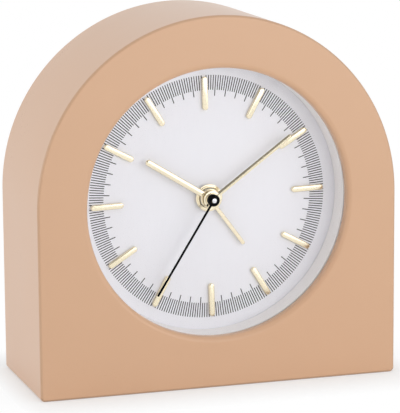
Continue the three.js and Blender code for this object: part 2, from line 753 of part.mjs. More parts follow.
function rearCover() {
  const through = (radius, steps) => rod(radius, coverOuterZ - overcut, coverInnerZ + overcut, steps);
  const outline = archOutline(innerRadius - runGap, sideWall + runGap, cornerRadius);
  const plate = slab(outline, coverOuterZ, coverInnerZ);
  const buzzerWall = tube(
    buzzerRadius + runGap, buzzerRadius + runGap + rimWall, coverInnerZ - overlap, coverInnerZ + buzzerHeight,
    midSteps).translate([0, centreHeight + buzzerY, 0]);
  const rails = [-1, 1].flatMap((side) => [
    switchRail(side, baseReach + runGap, baseReach + runGap + railWall, coverInnerZ - overlap, railTopZ),
    switchRail(side, nubRoom, baseReach + runGap + railWall, railTopZ - overlap, railTopZ + railWall),
  ]);
  const wellRoom = block(
    -wellHalf, wellHalf, wellBottom, wellTop, coverOuterZ - overcut, coverInnerZ + overcut);
  const doorRoom = block(
    -doorHalf - runGap, doorHalf + runGap, doorBottom - runGap, doorTop + runGap,
    coverOuterZ - overcut, coverOuterZ + doorThickness + seatGap);
  const pinReach = doorHalf + doorPinLength + 2 * runGap;
  const pinHole = rod(doorPinRadius + pivotGap, -pinReach, pinReach, pivotSteps)
    .rotate([0, 90, 0]).translate([0, doorAxisY, doorAxisZ]);
  const switchSlot = moved(
    block(-slotHalf, slotHalf, -nubRoom, nubRoom, coverOuterZ - overcut, coverInnerZ + overcut), switchPlace);
  const shaftHoles = [timePlace, alarmPlace].map((place) => moved(
    through(shaftRadius + runGap), place.clone().add(new THREE.Vector2(0, centreHeight))));
  const screwHoles = bossPlaces.map((place) => moved(through(pilotRadius, pivotSteps), place));
  const slots = [];
  for (let i = 0; i < soundSlots; i += 1) {
    slots.push(soundSlot((i - (soundSlots - 1) / 2) * soundSlotSpacing));
  }
  return cut(
    join(plate, buzzerWall, ...rails),
    wellRoom, doorRoom, pinHole, switchSlot, ...shaftHoles, ...screwHoles, ...slots);
}
piece('rear_cover', rearCover(), backPlastic, upright);

// Battery well: a tray behind the opening of the cover
function batteryWell() {
  const wellRearZ = coverInnerZ + seatGap;
  const box = block(
    -wellHalf - wellWall, wellHalf + wellWall, wellBottom - wellWall, wellTop + wellWall,
    wellRearZ, wellFrontZ + wellWall);
  const room = block(-wellHalf, wellHalf, wellBottom, wellTop, wellRearZ - overcut, wellFrontZ);
  return cut(box, room);
}
piece('battery_well', batteryWell(), backPlastic, upright);

// Battery door: a flap with a round foot on two pins
function batteryDoor() {
  const half = doorThickness / 2;
  const profile = [
    ...arc(0, 0, half, 180, 360, 8), new THREE.Vector2(half, doorTop - doorAxisY),
    new THREE.Vector2(-half, doorTop - doorAxisY),
  ];
  const flap = slab(profile, -doorHalf, doorHalf);
  const pins = rod(doorPinRadius, -doorHalf - doorPinLength, doorHalf + doorPinLength, pivotSteps);
  return flap.add(pins).rotate([0, 90, 0]);
}
piece('battery_door', batteryDoor(), backPlastic, upright, 0, doorAxisY, doorAxisZ);

// Battery and its two contacts
const batteryEnd = (batteryLength + batteryNubLength) / 2;
const battery = turned([
  [0, -batteryEnd], [batteryRadius, -batteryEnd], [batteryRadius, batteryLength - batteryEnd],
  [batteryNubRadius, batteryLength - batteryEnd], [batteryNubRadius, batteryEnd], [0, batteryEnd],
]);
const batteryMesh = piece('battery', battery, cellBlue, upright, 0, batteryY, batteryZ);
batteryMesh.rotation.y = Math.PI / 2;

// A folded leaf: one limb on the well's end wall, one sprung toward the cell
function contactLeaf(spring) {
  const wallX = contactRoom - seatGap;
  const outline = [
    new THREE.Vector2(wallX, -leafWidth / 2), new THREE.Vector2(wallX, leafWidth / 2),
    new THREE.Vector2(wallX - leafThickness, leafWidth / 2),
    new THREE.Vector2(wallX - leafThickness, leafThickness - leafWidth / 2 + leafThickness),
    new THREE.Vector2(spring, leafWidth / 4), new THREE.Vector2(spring, 0),
    new THREE.Vector2(wallX - 2 * leafThickness, -leafWidth / 2),
  ];
  return slab(outline, -leafWidth / 2, leafWidth / 2);
}
piece('battery_contact_plus', contactLeaf(seatGap), silver, upright, batteryEnd, batteryY, batteryZ);
const minusMesh = piece(
  'battery_contact_minus', contactLeaf(seatGap), silver, upright, -batteryEnd, batteryY, batteryZ);
minusMesh.rotation.z = Math.PI;

// Buzzer
const buzzer = rod(buzzerRadius, coverInnerZ + seatGap, coverInnerZ + buzzerHeight, midSteps);
piece('buzzer', buzzer, brass, upright, 0, centreHeight + buzzerY);

// Alarm switch: a slider that covers its slot from behind, with its nub through it
function alarmSwitch() {
  const baseFrontZ = coverInnerZ + seatGap + switchBase;
  const base = block(-baseHalf, baseHalf, -baseReach, baseReach, coverInnerZ + seatGap, baseFrontZ);
  const nub = block(
    -nubHalf, nubHalf, -nubHalf, nubHalf, coverOuterZ - switchNubRise, coverInnerZ + seatGap + overlap);
  return base.add(nub);
}
piece(
  'alarm_switch', alarmSwitch(), whitePlastic, upright, switchPlace.x - switchTravel / 2, switchPlace.y);

// Screws: a head with a cross recess, and a shank
function screw(seatZ) {
  const headZ = seatZ - seatGap;
  const head = rod(screwHeadRadius, headZ - screwHeadHeight, headZ, pivotSteps * 2);
  const shank = rod(screwShankRadius, headZ - overlap, seatZ + screwLength, pivotSteps);
  const long = screwCrossShare * screwHeadRadius;
  const narrow = screwCrossWidth / 2;
  const [recessRearZ, recessFrontZ] = [headZ - screwHeadHeight - overcut, headZ - screwHeadHeight / 2];
  return cut(
    head.add(shank),
    block(-long, long, -narrow, narrow, recessRearZ, recessFrontZ),
    block(-narrow, narrow, -long, long, recessRearZ, recessFrontZ),
  );
}
bossPlaces.forEach((place, i) => piece(
  `rear_cover_screw_${i + 1}`, screw(coverOuterZ), steel, upright, place.x, place.y));
postPlaces.forEach((place, i) => piece(
  `movement_screw_${i + 1}`, screw(plateRearZ), steel, face, place.x, place.y));

export default clock;
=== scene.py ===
"""Arched table alarm clock: its visible pieces, finishes, lights and camera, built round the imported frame."""

import json
import math
from collections import namedtuple

import bmesh
import bpy
from mathutils import Matrix, Vector


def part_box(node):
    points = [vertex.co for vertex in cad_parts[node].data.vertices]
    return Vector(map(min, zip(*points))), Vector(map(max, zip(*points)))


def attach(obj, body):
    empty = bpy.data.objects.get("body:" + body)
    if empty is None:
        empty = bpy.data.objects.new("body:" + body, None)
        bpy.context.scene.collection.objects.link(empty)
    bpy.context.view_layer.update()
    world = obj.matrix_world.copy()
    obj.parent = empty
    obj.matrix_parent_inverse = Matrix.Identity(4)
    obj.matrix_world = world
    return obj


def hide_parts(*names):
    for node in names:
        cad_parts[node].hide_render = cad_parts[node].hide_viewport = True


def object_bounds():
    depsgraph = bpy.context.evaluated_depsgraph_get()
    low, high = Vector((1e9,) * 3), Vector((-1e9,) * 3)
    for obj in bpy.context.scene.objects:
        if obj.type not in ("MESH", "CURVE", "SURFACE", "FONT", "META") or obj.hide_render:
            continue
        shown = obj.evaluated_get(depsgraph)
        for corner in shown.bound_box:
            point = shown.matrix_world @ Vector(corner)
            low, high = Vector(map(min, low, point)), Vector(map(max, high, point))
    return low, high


bl_info = {
    "name": "Arched table clock",
    "version": (1, 0, 0),
    "blender": (4, 5, 0),
    "location": "3D View > Sidebar > Clock",
    "description": "Builds the visible pieces, finishes and stage of an arched table alarm clock",
    "category": "Add Mesh",
}

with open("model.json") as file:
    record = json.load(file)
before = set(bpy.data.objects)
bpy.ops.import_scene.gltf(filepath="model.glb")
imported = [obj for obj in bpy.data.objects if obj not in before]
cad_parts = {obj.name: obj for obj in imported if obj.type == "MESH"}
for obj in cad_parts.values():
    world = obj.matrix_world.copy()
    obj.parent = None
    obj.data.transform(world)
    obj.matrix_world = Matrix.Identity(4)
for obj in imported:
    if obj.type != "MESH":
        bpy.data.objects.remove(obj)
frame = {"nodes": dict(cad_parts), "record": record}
cad_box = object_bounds()

MM = 0.001
DIAL_LOW, DIAL_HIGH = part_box("dial_plate")
FRONT_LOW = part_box("case_front")[0]
BAND_LOW, BAND_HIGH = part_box("case_band")
COVER_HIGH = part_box("rear_cover")[1]
DIAL_HEIGHT = (DIAL_LOW.z + DIAL_HIGH.z) / 2
ARCH_HEIGHT = BAND_HIGH.z - BAND_HIGH.x

# Nodes that come in rows
HOUR_MARKERS = ["hour_marker_%02d" % number for number in range(1, 13)]
REAR_SCREWS = ["rear_cover_screw_%d" % number for number in range(1, 5)]
MOVEMENT_SCREWS = ["movement_screw_%d" % number for number in range(1, 4)]

# To the frame from dial coordinates (x right, y up, z out of the dial), and from back coordinates (x right as
# seen from behind, y up, z out of the back)
FACE = Matrix(((1, 0, 0, 0), (0, 0, -1, DIAL_LOW.y), (0, 1, 0, DIAL_HEIGHT), (0, 0, 0, 1)))
BACK = Matrix(((-1, 0, 0, 0), (0, 0, 1, 0), (0, 1, 0, 0), (0, 0, 0, 1)))

# Corners round a turned shape, from the dial's ring down to a pin
RING_ROUND, LARGE_ROUND, SMALL_ROUND, TUBE_ROUND, PIN_ROUND = 192, 96, 48, 24, 16
# Edges that bend by more than this stay sharp
SHARP = math.radians(35)
# How far a boss, post or pin goes into what carries it, and the room between two pieces
SUNK, ROOM = 0.2 * MM, 0.1 * MM


def linear(red, green, blue):
    """A colour given in 0 to 255 display values (sRGB), as the linear values that shaders use."""
    shares = [value / 255 for value in (red, green, blue)]
    return tuple(share / 12.92 if share <= 0.04045 else ((share + 0.055) / 1.055) ** 2.4 for share in shares)


def length(name, description, default):
    """A length property, in metres."""
    return bpy.props.FloatProperty(
        name=name, description=description, default=default, min=0.0, unit="LENGTH", precision=5)


def colour(name, description, default):
    """A colour property."""
    return bpy.props.FloatVectorProperty(
        name=name, description=description, default=default, size=3, min=0.0, max=1.0, subtype="COLOR")


def angle(name, description, degrees):
    """An angle property, given in degrees."""
    return bpy.props.FloatProperty(
        name=name, description=description, default=math.radians(degrees), subtype="ANGLE")


def power(name, watts):
    """The power of a light."""
    description = "Power of the %s light in watts" % name.lower()
    return bpy.props.FloatProperty(name=name, description=description, default=watts, min=0.0, unit="POWER")


class ClockCaseSizes(bpy.types.PropertyGroup):
    """Sizes of the case moulding."""

    aperture: length("Aperture", "Radius of the round opening in the front", 36.3 * MM)
    lip: length("Lip", "Rounding of the opening's edge", 1.4 * MM)
    edge: length("Edge", "Rounding of the outer edges", 0.7 * MM)
    corner: length("Corner", "Rounding of the two bottom corners", 1.2 * MM)
    side_wall: length("Side wall", "Thickness of the band", 2.5 * MM)
    front_wall: length("Front wall", "Thickness of the front", 2.8 * MM)
    boss: length("Boss", "Radius of the screw bosses", 3.0 * MM)
    post: length("Post", "Radius of the movement's posts", 2.4 * MM)
    bore: length("Bore", "Radius of the bores in bosses and posts", 1.15 * MM)
    rim: length("Rim", "Inner radius of the crystal's rim", 38.8 * MM)
    rim_wall: length("Rim wall", "Thickness of the crystal's rim", 1.2 * MM)
    cover: length("Cover", "Thickness of the rear cover", 2.0 * MM)


class ClockDialSizes(bpy.types.PropertyGroup):
    """Sizes of the ring, minute track and hour markers."""

    ring_inner: length("Ring inside", "Radius of the ring's inside", 36.5 * MM)
    ring_wall: length("Ring wall", "Thickness of the ring round the dial", 0.9 * MM)
    ring_flange: length("Ring flange", "Height of the ring's flange", 1.0 * MM)
    ring_edge: length("Ring edge", "Rounding of the ring's edges", 0.25 * MM)
    turn: angle("Turn", "How far the dial sits turned, anticlockwise", 1.6)
    track: length("Track", "Outer radius of the minute track", 33.2 * MM)
    tick: length("Tick", "Length of a fifth-minute tick", 4.0 * MM)
    minute_tick: length("Minute tick", "Length of a minute tick", 5.6 * MM)
    tick_width: length("Tick width", "Width of a printed tick", 0.22 * MM)
    print_height: length("Print height", "Height of the print above the dial", 0.03 * MM)
    ticks: bpy.props.IntProperty(name="Ticks", description="Ticks round the track", default=300, min=60)
    marker_inner: length("Marker inner end", "Radius of the markers' inner ends", 23.8 * MM)
    marker_outer: length("Marker outer end", "Radius of the markers' outer ends", 32.9 * MM)
    marker_width: length("Marker width", "Width of a marker", 1.55 * MM)
    marker_seat: length("Marker seat", "Height of a marker's foot above the dial", 0.1 * MM)
    marker_top: length("Marker top", "Height of a marker's top above the dial", 1.0 * MM)
    marker_round: length("Marker rounding", "Rounding of a marker's upper edge", 0.25 * MM)


class ClockHandSizes(bpy.types.PropertyGroup):
    """Sizes shared by the four hands; each hand's own sizes are in HANDS."""

    first: length("First hand", "Height of the alarm hand above the dial", 1.1 * MM)
    spacing: length("Spacing", "Height from one hand to the next", 1.4 * MM)
    thickness: length("Thickness", "Thickness of a blade", 0.4 * MM)
    hub_rise: length("Hub rise", "Thickness of a hub's disc", 0.3 * MM)
    collar_rise: length("Collar rise", "Height of a hub's collar above the disc", 0.35 * MM)
    bush_drop: length("Bush drop", "Length of the bush behind a hub", 0.6 * MM)
    bush_wall: length("Bush wall", "Wall of the bush", 0.5 * MM)
    cap: length("Cap", "Radius of the second hand's bright cap", 0.65 * MM)
    cap_bore: length("Cap bore", "Radius of the cap's bore", 0.45 * MM)
    cap_edge: length("Cap edge", "Rounding of the cap's edge", 0.1 * MM)
    cap_rise: length("Cap rise", "Height of the cap above the second hand", 0.4 * MM)


class ClockBackSizes(bpy.types.PropertyGroup):
    """Sizes of the pieces on the back."""

    knob_bore: length("Knob bore", "Radius of the bore for the shaft", 1.3 * MM)
    knob_rib: length("Knob rib", "Radius of a knob's grip rib", 0.5 * MM)
    knob_edge: length("Knob edge", "Rounding of a knob's edges", 0.5 * MM)
    knob_dish: length("Knob dish", "Depth of the dished knob face", 0.5 * MM)
    knob_ribs: bpy.props.IntProperty(name="Knob ribs", description="Ribs round a knob", default=28, min=6)
    screw_head: length("Screw head", "Radius of a screw's head", 2.2 * MM)
    screw_height: length("Screw height", "Height of a screw's head", 1.3 * MM)
    screw_shank: length("Screw shank", "Radius of a screw's shank", 0.95 * MM)
    screw_cross: length("Screw cross", "Width of the cross recess", 0.7 * MM)
    door_edge: length("Door edge", "Rounding of the battery door's edges", 0.3 * MM)
    door_pin: length("Door pin", "Radius of the battery door's pins", 0.35 * MM)
    door_pin_length: length("Door pin length", "Length of a pin", 0.8 * MM)
    grip_length: length("Grip length", "Length of a grip rib on the door", 12.0 * MM)
    grip_width: length("Grip width", "Width of a grip rib", 0.7 * MM)
    grip_rise: length("Grip rise", "Height of a grip rib", 0.35 * MM)
    grip_spacing: length("Grip spacing", "Distance from rib to rib", 1.5 * MM)
    nub: length("Nub", "Width of the switch's nub", 3.4 * MM)
    nub_edge: length("Nub edge", "Rounding of the nub's edges", 0.35 * MM)
    switch_base: length("Switch base", "Thickness of the slider behind the cover", 1.2 * MM)


class ClockColours(bpy.types.PropertyGroup):
    """Colours of the finishes."""

    lacquer: colour("Lacquer", "Case lacquer", linear(207, 166, 133))
    ring: colour("Ring", "Ring round the dial", linear(250, 247, 246))
    dial: colour("Dial", "Dial", linear(241, 241, 247))
    ink: colour("Ink", "Minute track", linear(10, 10, 12))
    gold: colour("Gold", "Hands and markers", linear(250, 238, 209))
    black: colour("Black", "Second hand", linear(8, 8, 9))
    bright: colour("Bright", "Polished metal", linear(238, 238, 240))
    steel: colour("Steel", "Screws and motor", linear(172, 174, 178))
    brass: colour("Brass", "Train", linear(204, 168, 92))
    copper: colour("Copper", "Coil", linear(190, 112, 72))
    back: colour("Back", "Rear cover, knobs and door", linear(44, 43, 43))
    ivory: colour("Ivory", "Movement", linear(224, 220, 208))
    white: colour("White", "Plastic wheels and switch", linear(228, 227, 223))
    board: colour("Board", "Circuit board", linear(44, 100, 66))
    cell: colour("Cell", "Battery sleeve", linear(58, 74, 99))
    crystal: colour("Crystal", "Faint haze of the crystal", (0.05, 0.052, 0.055))


class ClockStageSizes(bpy.types.PropertyGroup):
    """The camera, the lights and the floor."""

    azimuth: angle("Azimuth", "Camera's turn round the clock, from the front", -18.08)
    elevation: angle("Elevation", "Camera's height over the horizon", 10.748)
    roll: angle("Roll", "Camera's turn about its own axis", -0.426)
    distance: length("Distance", "Camera's distance from the front of the clock", 0.6808)
    lens: bpy.props.FloatProperty(
        name="Lens", description="Focal length in millimetres", default=223.29, min=1.0, unit="CAMERA")
    aim_left: length("Aim left", "How far left of the clock's middle the camera aims", 5.416 * MM)
    aim_down: length("Aim down", "How far below the clock's middle the camera aims", 0.725 * MM)
    floor: length("Floor", "Width of the floor", 8.0)
    key: power("Key", 0.8)
    fill: power("Fill", 2.6)
    top: power("Top", 0.2)
    front: power("Front", 0.87)
    sky: bpy.props.FloatProperty(
        name="Sky", description="Strength of the light all round", default=0.745, min=0.0)
    dim: bpy.props.FloatProperty(
        name="Dim", description="Share of white that the room behind the camera mirrors", default=0.22,
        min=0.0, max=1.0, subtype="FACTOR")


# Blade sections, as shares of half the width and of the thickness
RIDGED = ((-1, 0), (1, 0), (1, 0.3), (0.04, 1), (-0.04, 1), (-1, 0.3))
FLAT = ((-1, 0), (1, 0), (1, 0.85), (0.85, 1), (-0.85, 1), (-1, 0.85))
ROUNDED = (
    (-1, 0), (1, 0), (1, 0.3), (0.88, 0.62), (0.6, 0.87), (0, 1), (-0.6, 0.87), (-0.88, 0.62), (-1, 0.3))

# Each hand: its body, its place from the dial up, its section, length and width, the radii of its hub and its
# bore, and the degrees that it points clockwise from twelve
Hand = namedtuple("Hand", "body place section length width hub bore clockwise")
HANDS = {
    "alarm_hand": Hand("alarm_pipe", 0, FLAT, 16.6 * MM, 1.0 * MM, 3.7 * MM, 2.85 * MM, 143.6),
    "hour_hand": Hand("hour_pipe", 1, ROUNDED, 21.2 * MM, 1.7 * MM, 2.7 * MM, 2.05 * MM, 302.0),
    "minute_hand": Hand("minute_pipe", 2, RIDGED, 27.8 * MM, 1.2 * MM, 2.4 * MM, 1.25 * MM, 54.2),
    "second_hand": Hand("second_arbor", 3, ROUNDED, 29.8 * MM, 0.6 * MM, 1.65 * MM, 0.75 * MM, 212.3),
}


# Mesh helpers

# Radii below this lie on the axis
ON_AXIS = 1e-9
# The least rounding that an inset leaves at the corner of a block
LEAST_CORNER = 0.02 * MM


def middle_of(node):
    """The middle of a CAD node's box."""
    low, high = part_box(node)
    return (low + high) / 2


def quarter(steps):
    """The angles of a quarter turn, both ends among them."""
    return [math.pi / 2 * k / steps for k in range(steps + 1)]


def ring(bm, points):
    """Vertices at the given points."""
    return [bm.verts.new(point) for point in points]


def pole(bm, point, count):
    """One vertex that stands for a whole ring."""
    return [bm.verts.new(point)] * count


def skin(bm, rings, closed=False):
    """Faces between rings of equal count, from the last back to the first where closed."""
    for low, high in zip(rings, rings[1:] + (rings[:1] if closed else [])):
        for i in range(len(low)):
            j = (i + 1) % len(low)
            corners = list(dict.fromkeys((low[i], low[j], high[j], high[i])))
            if len(corners) > 2:
                bm.faces.new(corners)


def circle(radius, z, steps, x=0.0, y=0.0):
    """Points of a circle at a height."""
    turns = [2 * math.pi * i / steps for i in range(steps)]
    return [Vector((x + radius * math.cos(t), y + radius * math.sin(t), z)) for t in turns]


def lathe(bm, profile, steps, x=0.0, y=0.0):
    """A profile of (radius, height) points turned round the upright axis at x, y: open if it starts on it."""
    rings = []
    for radius, z in profile:
        if radius < ON_AXIS:
            rings.append(pole(bm, (x, y, z), steps))
        else:
            rings.append(ring(bm, circle(radius, z, steps, x, y)))
    skin(bm, rings, closed=profile[0][0] > ON_AXIS)


def rounded(corners, steps=4):
    """An outline from (x, y, radius) corners, each turned with an arc."""
    points = []
    for i, (x, y, radius) in enumerate(corners):
        here = Vector((x, y))
        if radius == 0:
            points.append((x, y))
            continue
        before = (Vector(corners[i - 1][:2]) - here).normalized()
        after = (Vector(corners[(i + 1) % len(corners)][:2]) - here).normalized()
        half = before.angle(after) / 2
        centre = here + (before + after).normalized() * radius / math.sin(half)
        start = here + before * radius / math.tan(half) - centre
        end = here + after * radius / math.tan(half) - centre
        first = math.atan2(start.y, start.x)
        turn = (math.atan2(end.y, end.x) - first + math.pi) % (2 * math.pi) - math.pi
        for k in range(steps + 1):
            bend = first + turn * k / steps
            points.append((centre.x + radius * math.cos(bend), centre.y + radius * math.sin(bend)))
    return points


def prism(bm, rings):
    """A closed solid from rings of points, with flat ends."""
    loops = [ring(bm, points) for points in rings]
    skin(bm, loops)
    bm.faces.new(list(reversed(loops[0])))
    bm.faces.new(loops[-1])


def raised(outline, *heights):
    """Rings of one outline at the given heights."""
    return [[Vector((x, y, z)) for x, y in outline] for z in heights]


def cushioned(outline_at, low, high, edge, steps=4):
    """Rings of a block whose upper edge is rounded: outline_at(inset) gives its outline."""
    rings = raised(outline_at(0.0), low)
    for bend in quarter(steps):
        z = high - edge + edge * math.sin(bend)
        rings += raised(outline_at(edge * (1 - math.cos(bend))), z)
    return rings


def box_outline(left, right, bottom, top, corner, steps=3):
    """A function of inset that gives a rounded rectangle."""
    def outline(inset):
        radius = max(corner - inset, LEAST_CORNER)
        return rounded([
            (left + inset, bottom + inset, radius), (right - inset, bottom + inset, radius),
            (right - inset, top - inset, radius), (left + inset, top - inset, radius)], steps)
    return outline


def bar_outline(low, high, width, steps=12):
    """A function of inset that gives an upright bar with round ends."""
    def outline(inset):
        half = width / 2 - inset
        points = []
        for y, first in ((high - width / 2, 0.0), (low + width / 2, math.pi)):
            turns = [first + math.pi * k / steps for k in range(steps + 1)]
            points += [(half * math.cos(turn), y + half * math.sin(turn)) for turn in turns]
        return points
    return outline


def to_mesh(bm, name, place=None):
    """A mesh with outward faces, smooth but for its sharp edges."""
    bmesh.ops.recalc_face_normals(bm, faces=bm.faces)
    mesh = bpy.data.meshes.new(name)
    bm.to_mesh(mesh)
    bm.free()
    if place is not None:
        mesh.transform(place)
    mesh.shade_smooth()
    mesh.set_sharp_from_angle(angle=SHARP)
    return mesh


def to_object(name, mesh, finish=None):
    """An object at the origin, with its finish where one is given."""
    if finish is not None:
        mesh.materials.clear()
        mesh.materials.append(finished(finish))
    made = bpy.data.objects.new(name, mesh)
    bpy.context.scene.collection.objects.link(made)
    return made


def fit(name, mesh, slot, body, *nodes, finish=None):
    """Sets a finished piece on a body, in place of the CAD nodes that it stands for."""
    made = to_object(name, mesh, finish or slot)
    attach(made, body)
    if nodes:
        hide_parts(*nodes)


def settled(made):
    """The plain mesh that an object's modifiers make of it; the object is removed."""
    graph = bpy.context.evaluated_depsgraph_get()
    mesh = bpy.data.meshes.new_from_object(made.evaluated_get(graph), depsgraph=graph)
    bpy.data.objects.remove(made)
    return mesh


def joined(name, meshes):
    """Several meshes as one."""
    bm = bmesh.new()
    for mesh in meshes:
        bm.from_mesh(mesh)
        bpy.data.meshes.remove(mesh)
    return to_mesh(bm, name)


# Node helpers

# Distance between nodes in the editor
NODE_STEP = 200
# The minutes and hours that the track marks, and how far past a mark an index lies between two
MINUTES, HOURS, PAST_MARK = 60.0, 12.0, 0.5


def wire(tree, kind, values=(), **settings):
    """A new node with its settings, and its inputs set or linked."""
    made = tree.nodes.new(kind)
    made.location = (NODE_STEP * len(tree.nodes), 0)
    for key, value in settings.items():
        setattr(made, key, value)
    for key, value in dict(values).items():
        if isinstance(value, bpy.types.NodeSocket):
            tree.links.new(value, made.inputs[key])
        else:
            made.inputs[key].default_value = value
    return made


def compute(tree, operation, first, second):
    """The result of a math node."""
    return wire(tree, "ShaderNodeMath", {0: first, 1: second}, operation=operation).outputs[0]


def vector_math(tree, operation, *values):
    """The outputs of a vector math node."""
    return wire(tree, "ShaderNodeVectorMath", enumerate(values), operation=operation).outputs


def mapped(tree, value, low, high, start=0.0, end=1.0, **settings):
    """A value taken from the range between start and end to the one between low and high."""
    made = wire(tree, "ShaderNodeMapRange", {
        "Value": value, "From Min": start, "From Max": end, "To Min": low, "To Max": high}, **settings)
    return made.outputs[0]


def growth_tree(name, sockets):
    """A Geometry Nodes tree with named inputs, and its group input."""
    tree = bpy.data.node_groups.new(name, "GeometryNodeTree")
    tree.interface.new_socket("Geometry", in_out="OUTPUT", socket_type="NodeSocketGeometry")
    tree.interface.new_socket("Geometry", in_out="INPUT", socket_type="NodeSocketGeometry")
    for label, kind in sockets.items():
        tree.interface.new_socket(label, in_out="INPUT", socket_type="NodeSocket" + kind)
    return tree, wire(tree, "NodeGroupInput").outputs


def end_growth(tree, instances, finish):
    """Ends a tree: real geometry with its material."""
    real = wire(tree, "GeometryNodeRealizeInstances", {"Geometry": instances})
    dressed = wire(tree, "GeometryNodeSetMaterial", {"Geometry": real.outputs[0], "Material": finish})
    wire(tree, "NodeGroupOutput", {0: dressed.outputs[0]})


def spread_round(tree, index, count):
    """The rotation that spreads a count of copies round the z axis."""
    turn = compute(tree, "MULTIPLY", index, compute(tree, "DIVIDE", 2 * math.pi, count))
    return wire(tree, "FunctionNodeAxisAngleToRotation", {"Axis": (0, 0, 1), "Angle": turn}).outputs[0]


def round_copies():
    """A tree that sets copies of a piece round the z axis."""
    tree, given = growth_tree("round_copies", {"Piece": "Object", "Count": "Int", "Finish": "Material"})
    points = wire(tree, "GeometryNodePoints", {"Count": given["Count"]})
    piece = wire(tree, "GeometryNodeObjectInfo", {"Object": given["Piece"]})
    rotation = spread_round(tree, wire(tree, "GeometryNodeInputIndex").outputs[0], given["Count"])
    copies = wire(tree, "GeometryNodeInstanceOnPoints", {
        "Points": points.outputs[0], "Instance": piece.outputs["Geometry"], "Rotation": rotation})
    end_growth(tree, copies.outputs[0], given["Finish"])
    return tree


def point_copies():
    """A tree that sets copies of a piece on the points of the mesh that carries it."""
    tree, given = growth_tree("point_copies", {"Piece": "Object", "Finish": "Material"})
    piece = wire(tree, "GeometryNodeObjectInfo", {"Object": given["Piece"]})
    copies = wire(tree, "GeometryNodeInstanceOnPoints", {
        "Points": given["Geometry"], "Instance": piece.outputs["Geometry"]})
    end_growth(tree, copies.outputs[0], given["Finish"])
    return tree


def minute_track():
    """A tree of printed ticks round a dial: longer on each minute, none on the hours."""
    tree, given = growth_tree("minute_track", {
        "Ticks": "Int", "Radius": "Float", "Tick": "Float", "Minute Tick": "Float", "Width": "Float",
        "Height": "Float", "Finish": "Material"})
    points = wire(tree, "GeometryNodePoints", {"Count": given["Ticks"]})
    index = wire(tree, "GeometryNodeInputIndex").outputs[0]
    rotation = spread_round(tree, index, given["Ticks"])
    in_minute = compute(tree, "MODULO", index, compute(tree, "DIVIDE", given["Ticks"], MINUTES))
    in_hour = compute(tree, "MODULO", index, compute(tree, "DIVIDE", given["Ticks"], HOURS))
    between = compute(tree, "GREATER_THAN", in_minute, PAST_MARK)
    off_hour = compute(tree, "GREATER_THAN", in_hour, PAST_MARK)
    on_minute = compute(tree, "MULTIPLY", compute(tree, "SUBTRACT", 1.0, between), off_hour)
    rows = wire(tree, "GeometryNodeJoinGeometry")
    for reach, chosen in ((given["Tick"], between), (given["Minute Tick"], on_minute)):
        size = wire(tree, "ShaderNodeCombineXYZ", {0: reach, 1: given["Width"], 2: given["Height"]})
        middle = compute(tree, "SUBTRACT", given["Radius"], compute(tree, "MULTIPLY", reach, 0.5))
        seat = wire(tree, "ShaderNodeCombineXYZ", {0: middle})
        bar = wire(tree, "GeometryNodeMeshCube", {"Size": size.outputs[0]})
        moved = wire(tree, "GeometryNodeTransform", {
            "Geometry": bar.outputs[0], "Translation": seat.outputs[0]})
        row = wire(tree, "GeometryNodeInstanceOnPoints", {
            "Points": points.outputs[0], "Selection": chosen, "Instance": moved.outputs[0],
            "Rotation": rotation})
        tree.links.new(row.outputs[0], rows.inputs[0])
    end_growth(tree, rows.outputs[0], given["Finish"])
    return tree


def grown(name, tree, values, carrier_mesh=None, piece=None):
    """The mesh that a tree makes from its inputs; the carrier and the piece that is copied are removed."""
    carrier = to_object(name + "_carrier", carrier_mesh or bpy.data.meshes.new(name + "_carrier"))
    if piece is not None:
        values = dict(values, Piece=piece)
    modifier = carrier.modifiers.new(name, "NODES")
    modifier.node_group = tree
    for item in tree.interface.items_tree:
        if item.in_out == "INPUT" and item.name in values:
            modifier[item.identifier] = values[item.name]
    mesh = settled(carrier)
    mesh.name = name
    if piece is not None:
        bpy.data.objects.remove(piece)
    if not mesh.polygons:
        raise RuntimeError("No geometry came from the tree for " + name)
    return mesh


# Finishes

# The broad mottle's patches per metre, the detail of the fine and the broad noise, and the middle part of the
# noise that the ramps spread out
MOTTLE = 45.0
FINE_DETAIL, BROAD_DETAIL = 3.0, 2.0
NOISE_LOW, NOISE_HIGH = 0.3, 0.7
# The lacquer's tone in the shade painted along the case's outer edges, and how much of the crystal shows
EDGE_SHADE_TONE = 0.72
CRYSTAL_ALPHA = 0.017
# A Mix node's sockets for colours: the factor, the two colours and the result
MIX_FACTOR, MIX_FIRST, MIX_SECOND, MIX_RESULT = 0, 6, 7, 2

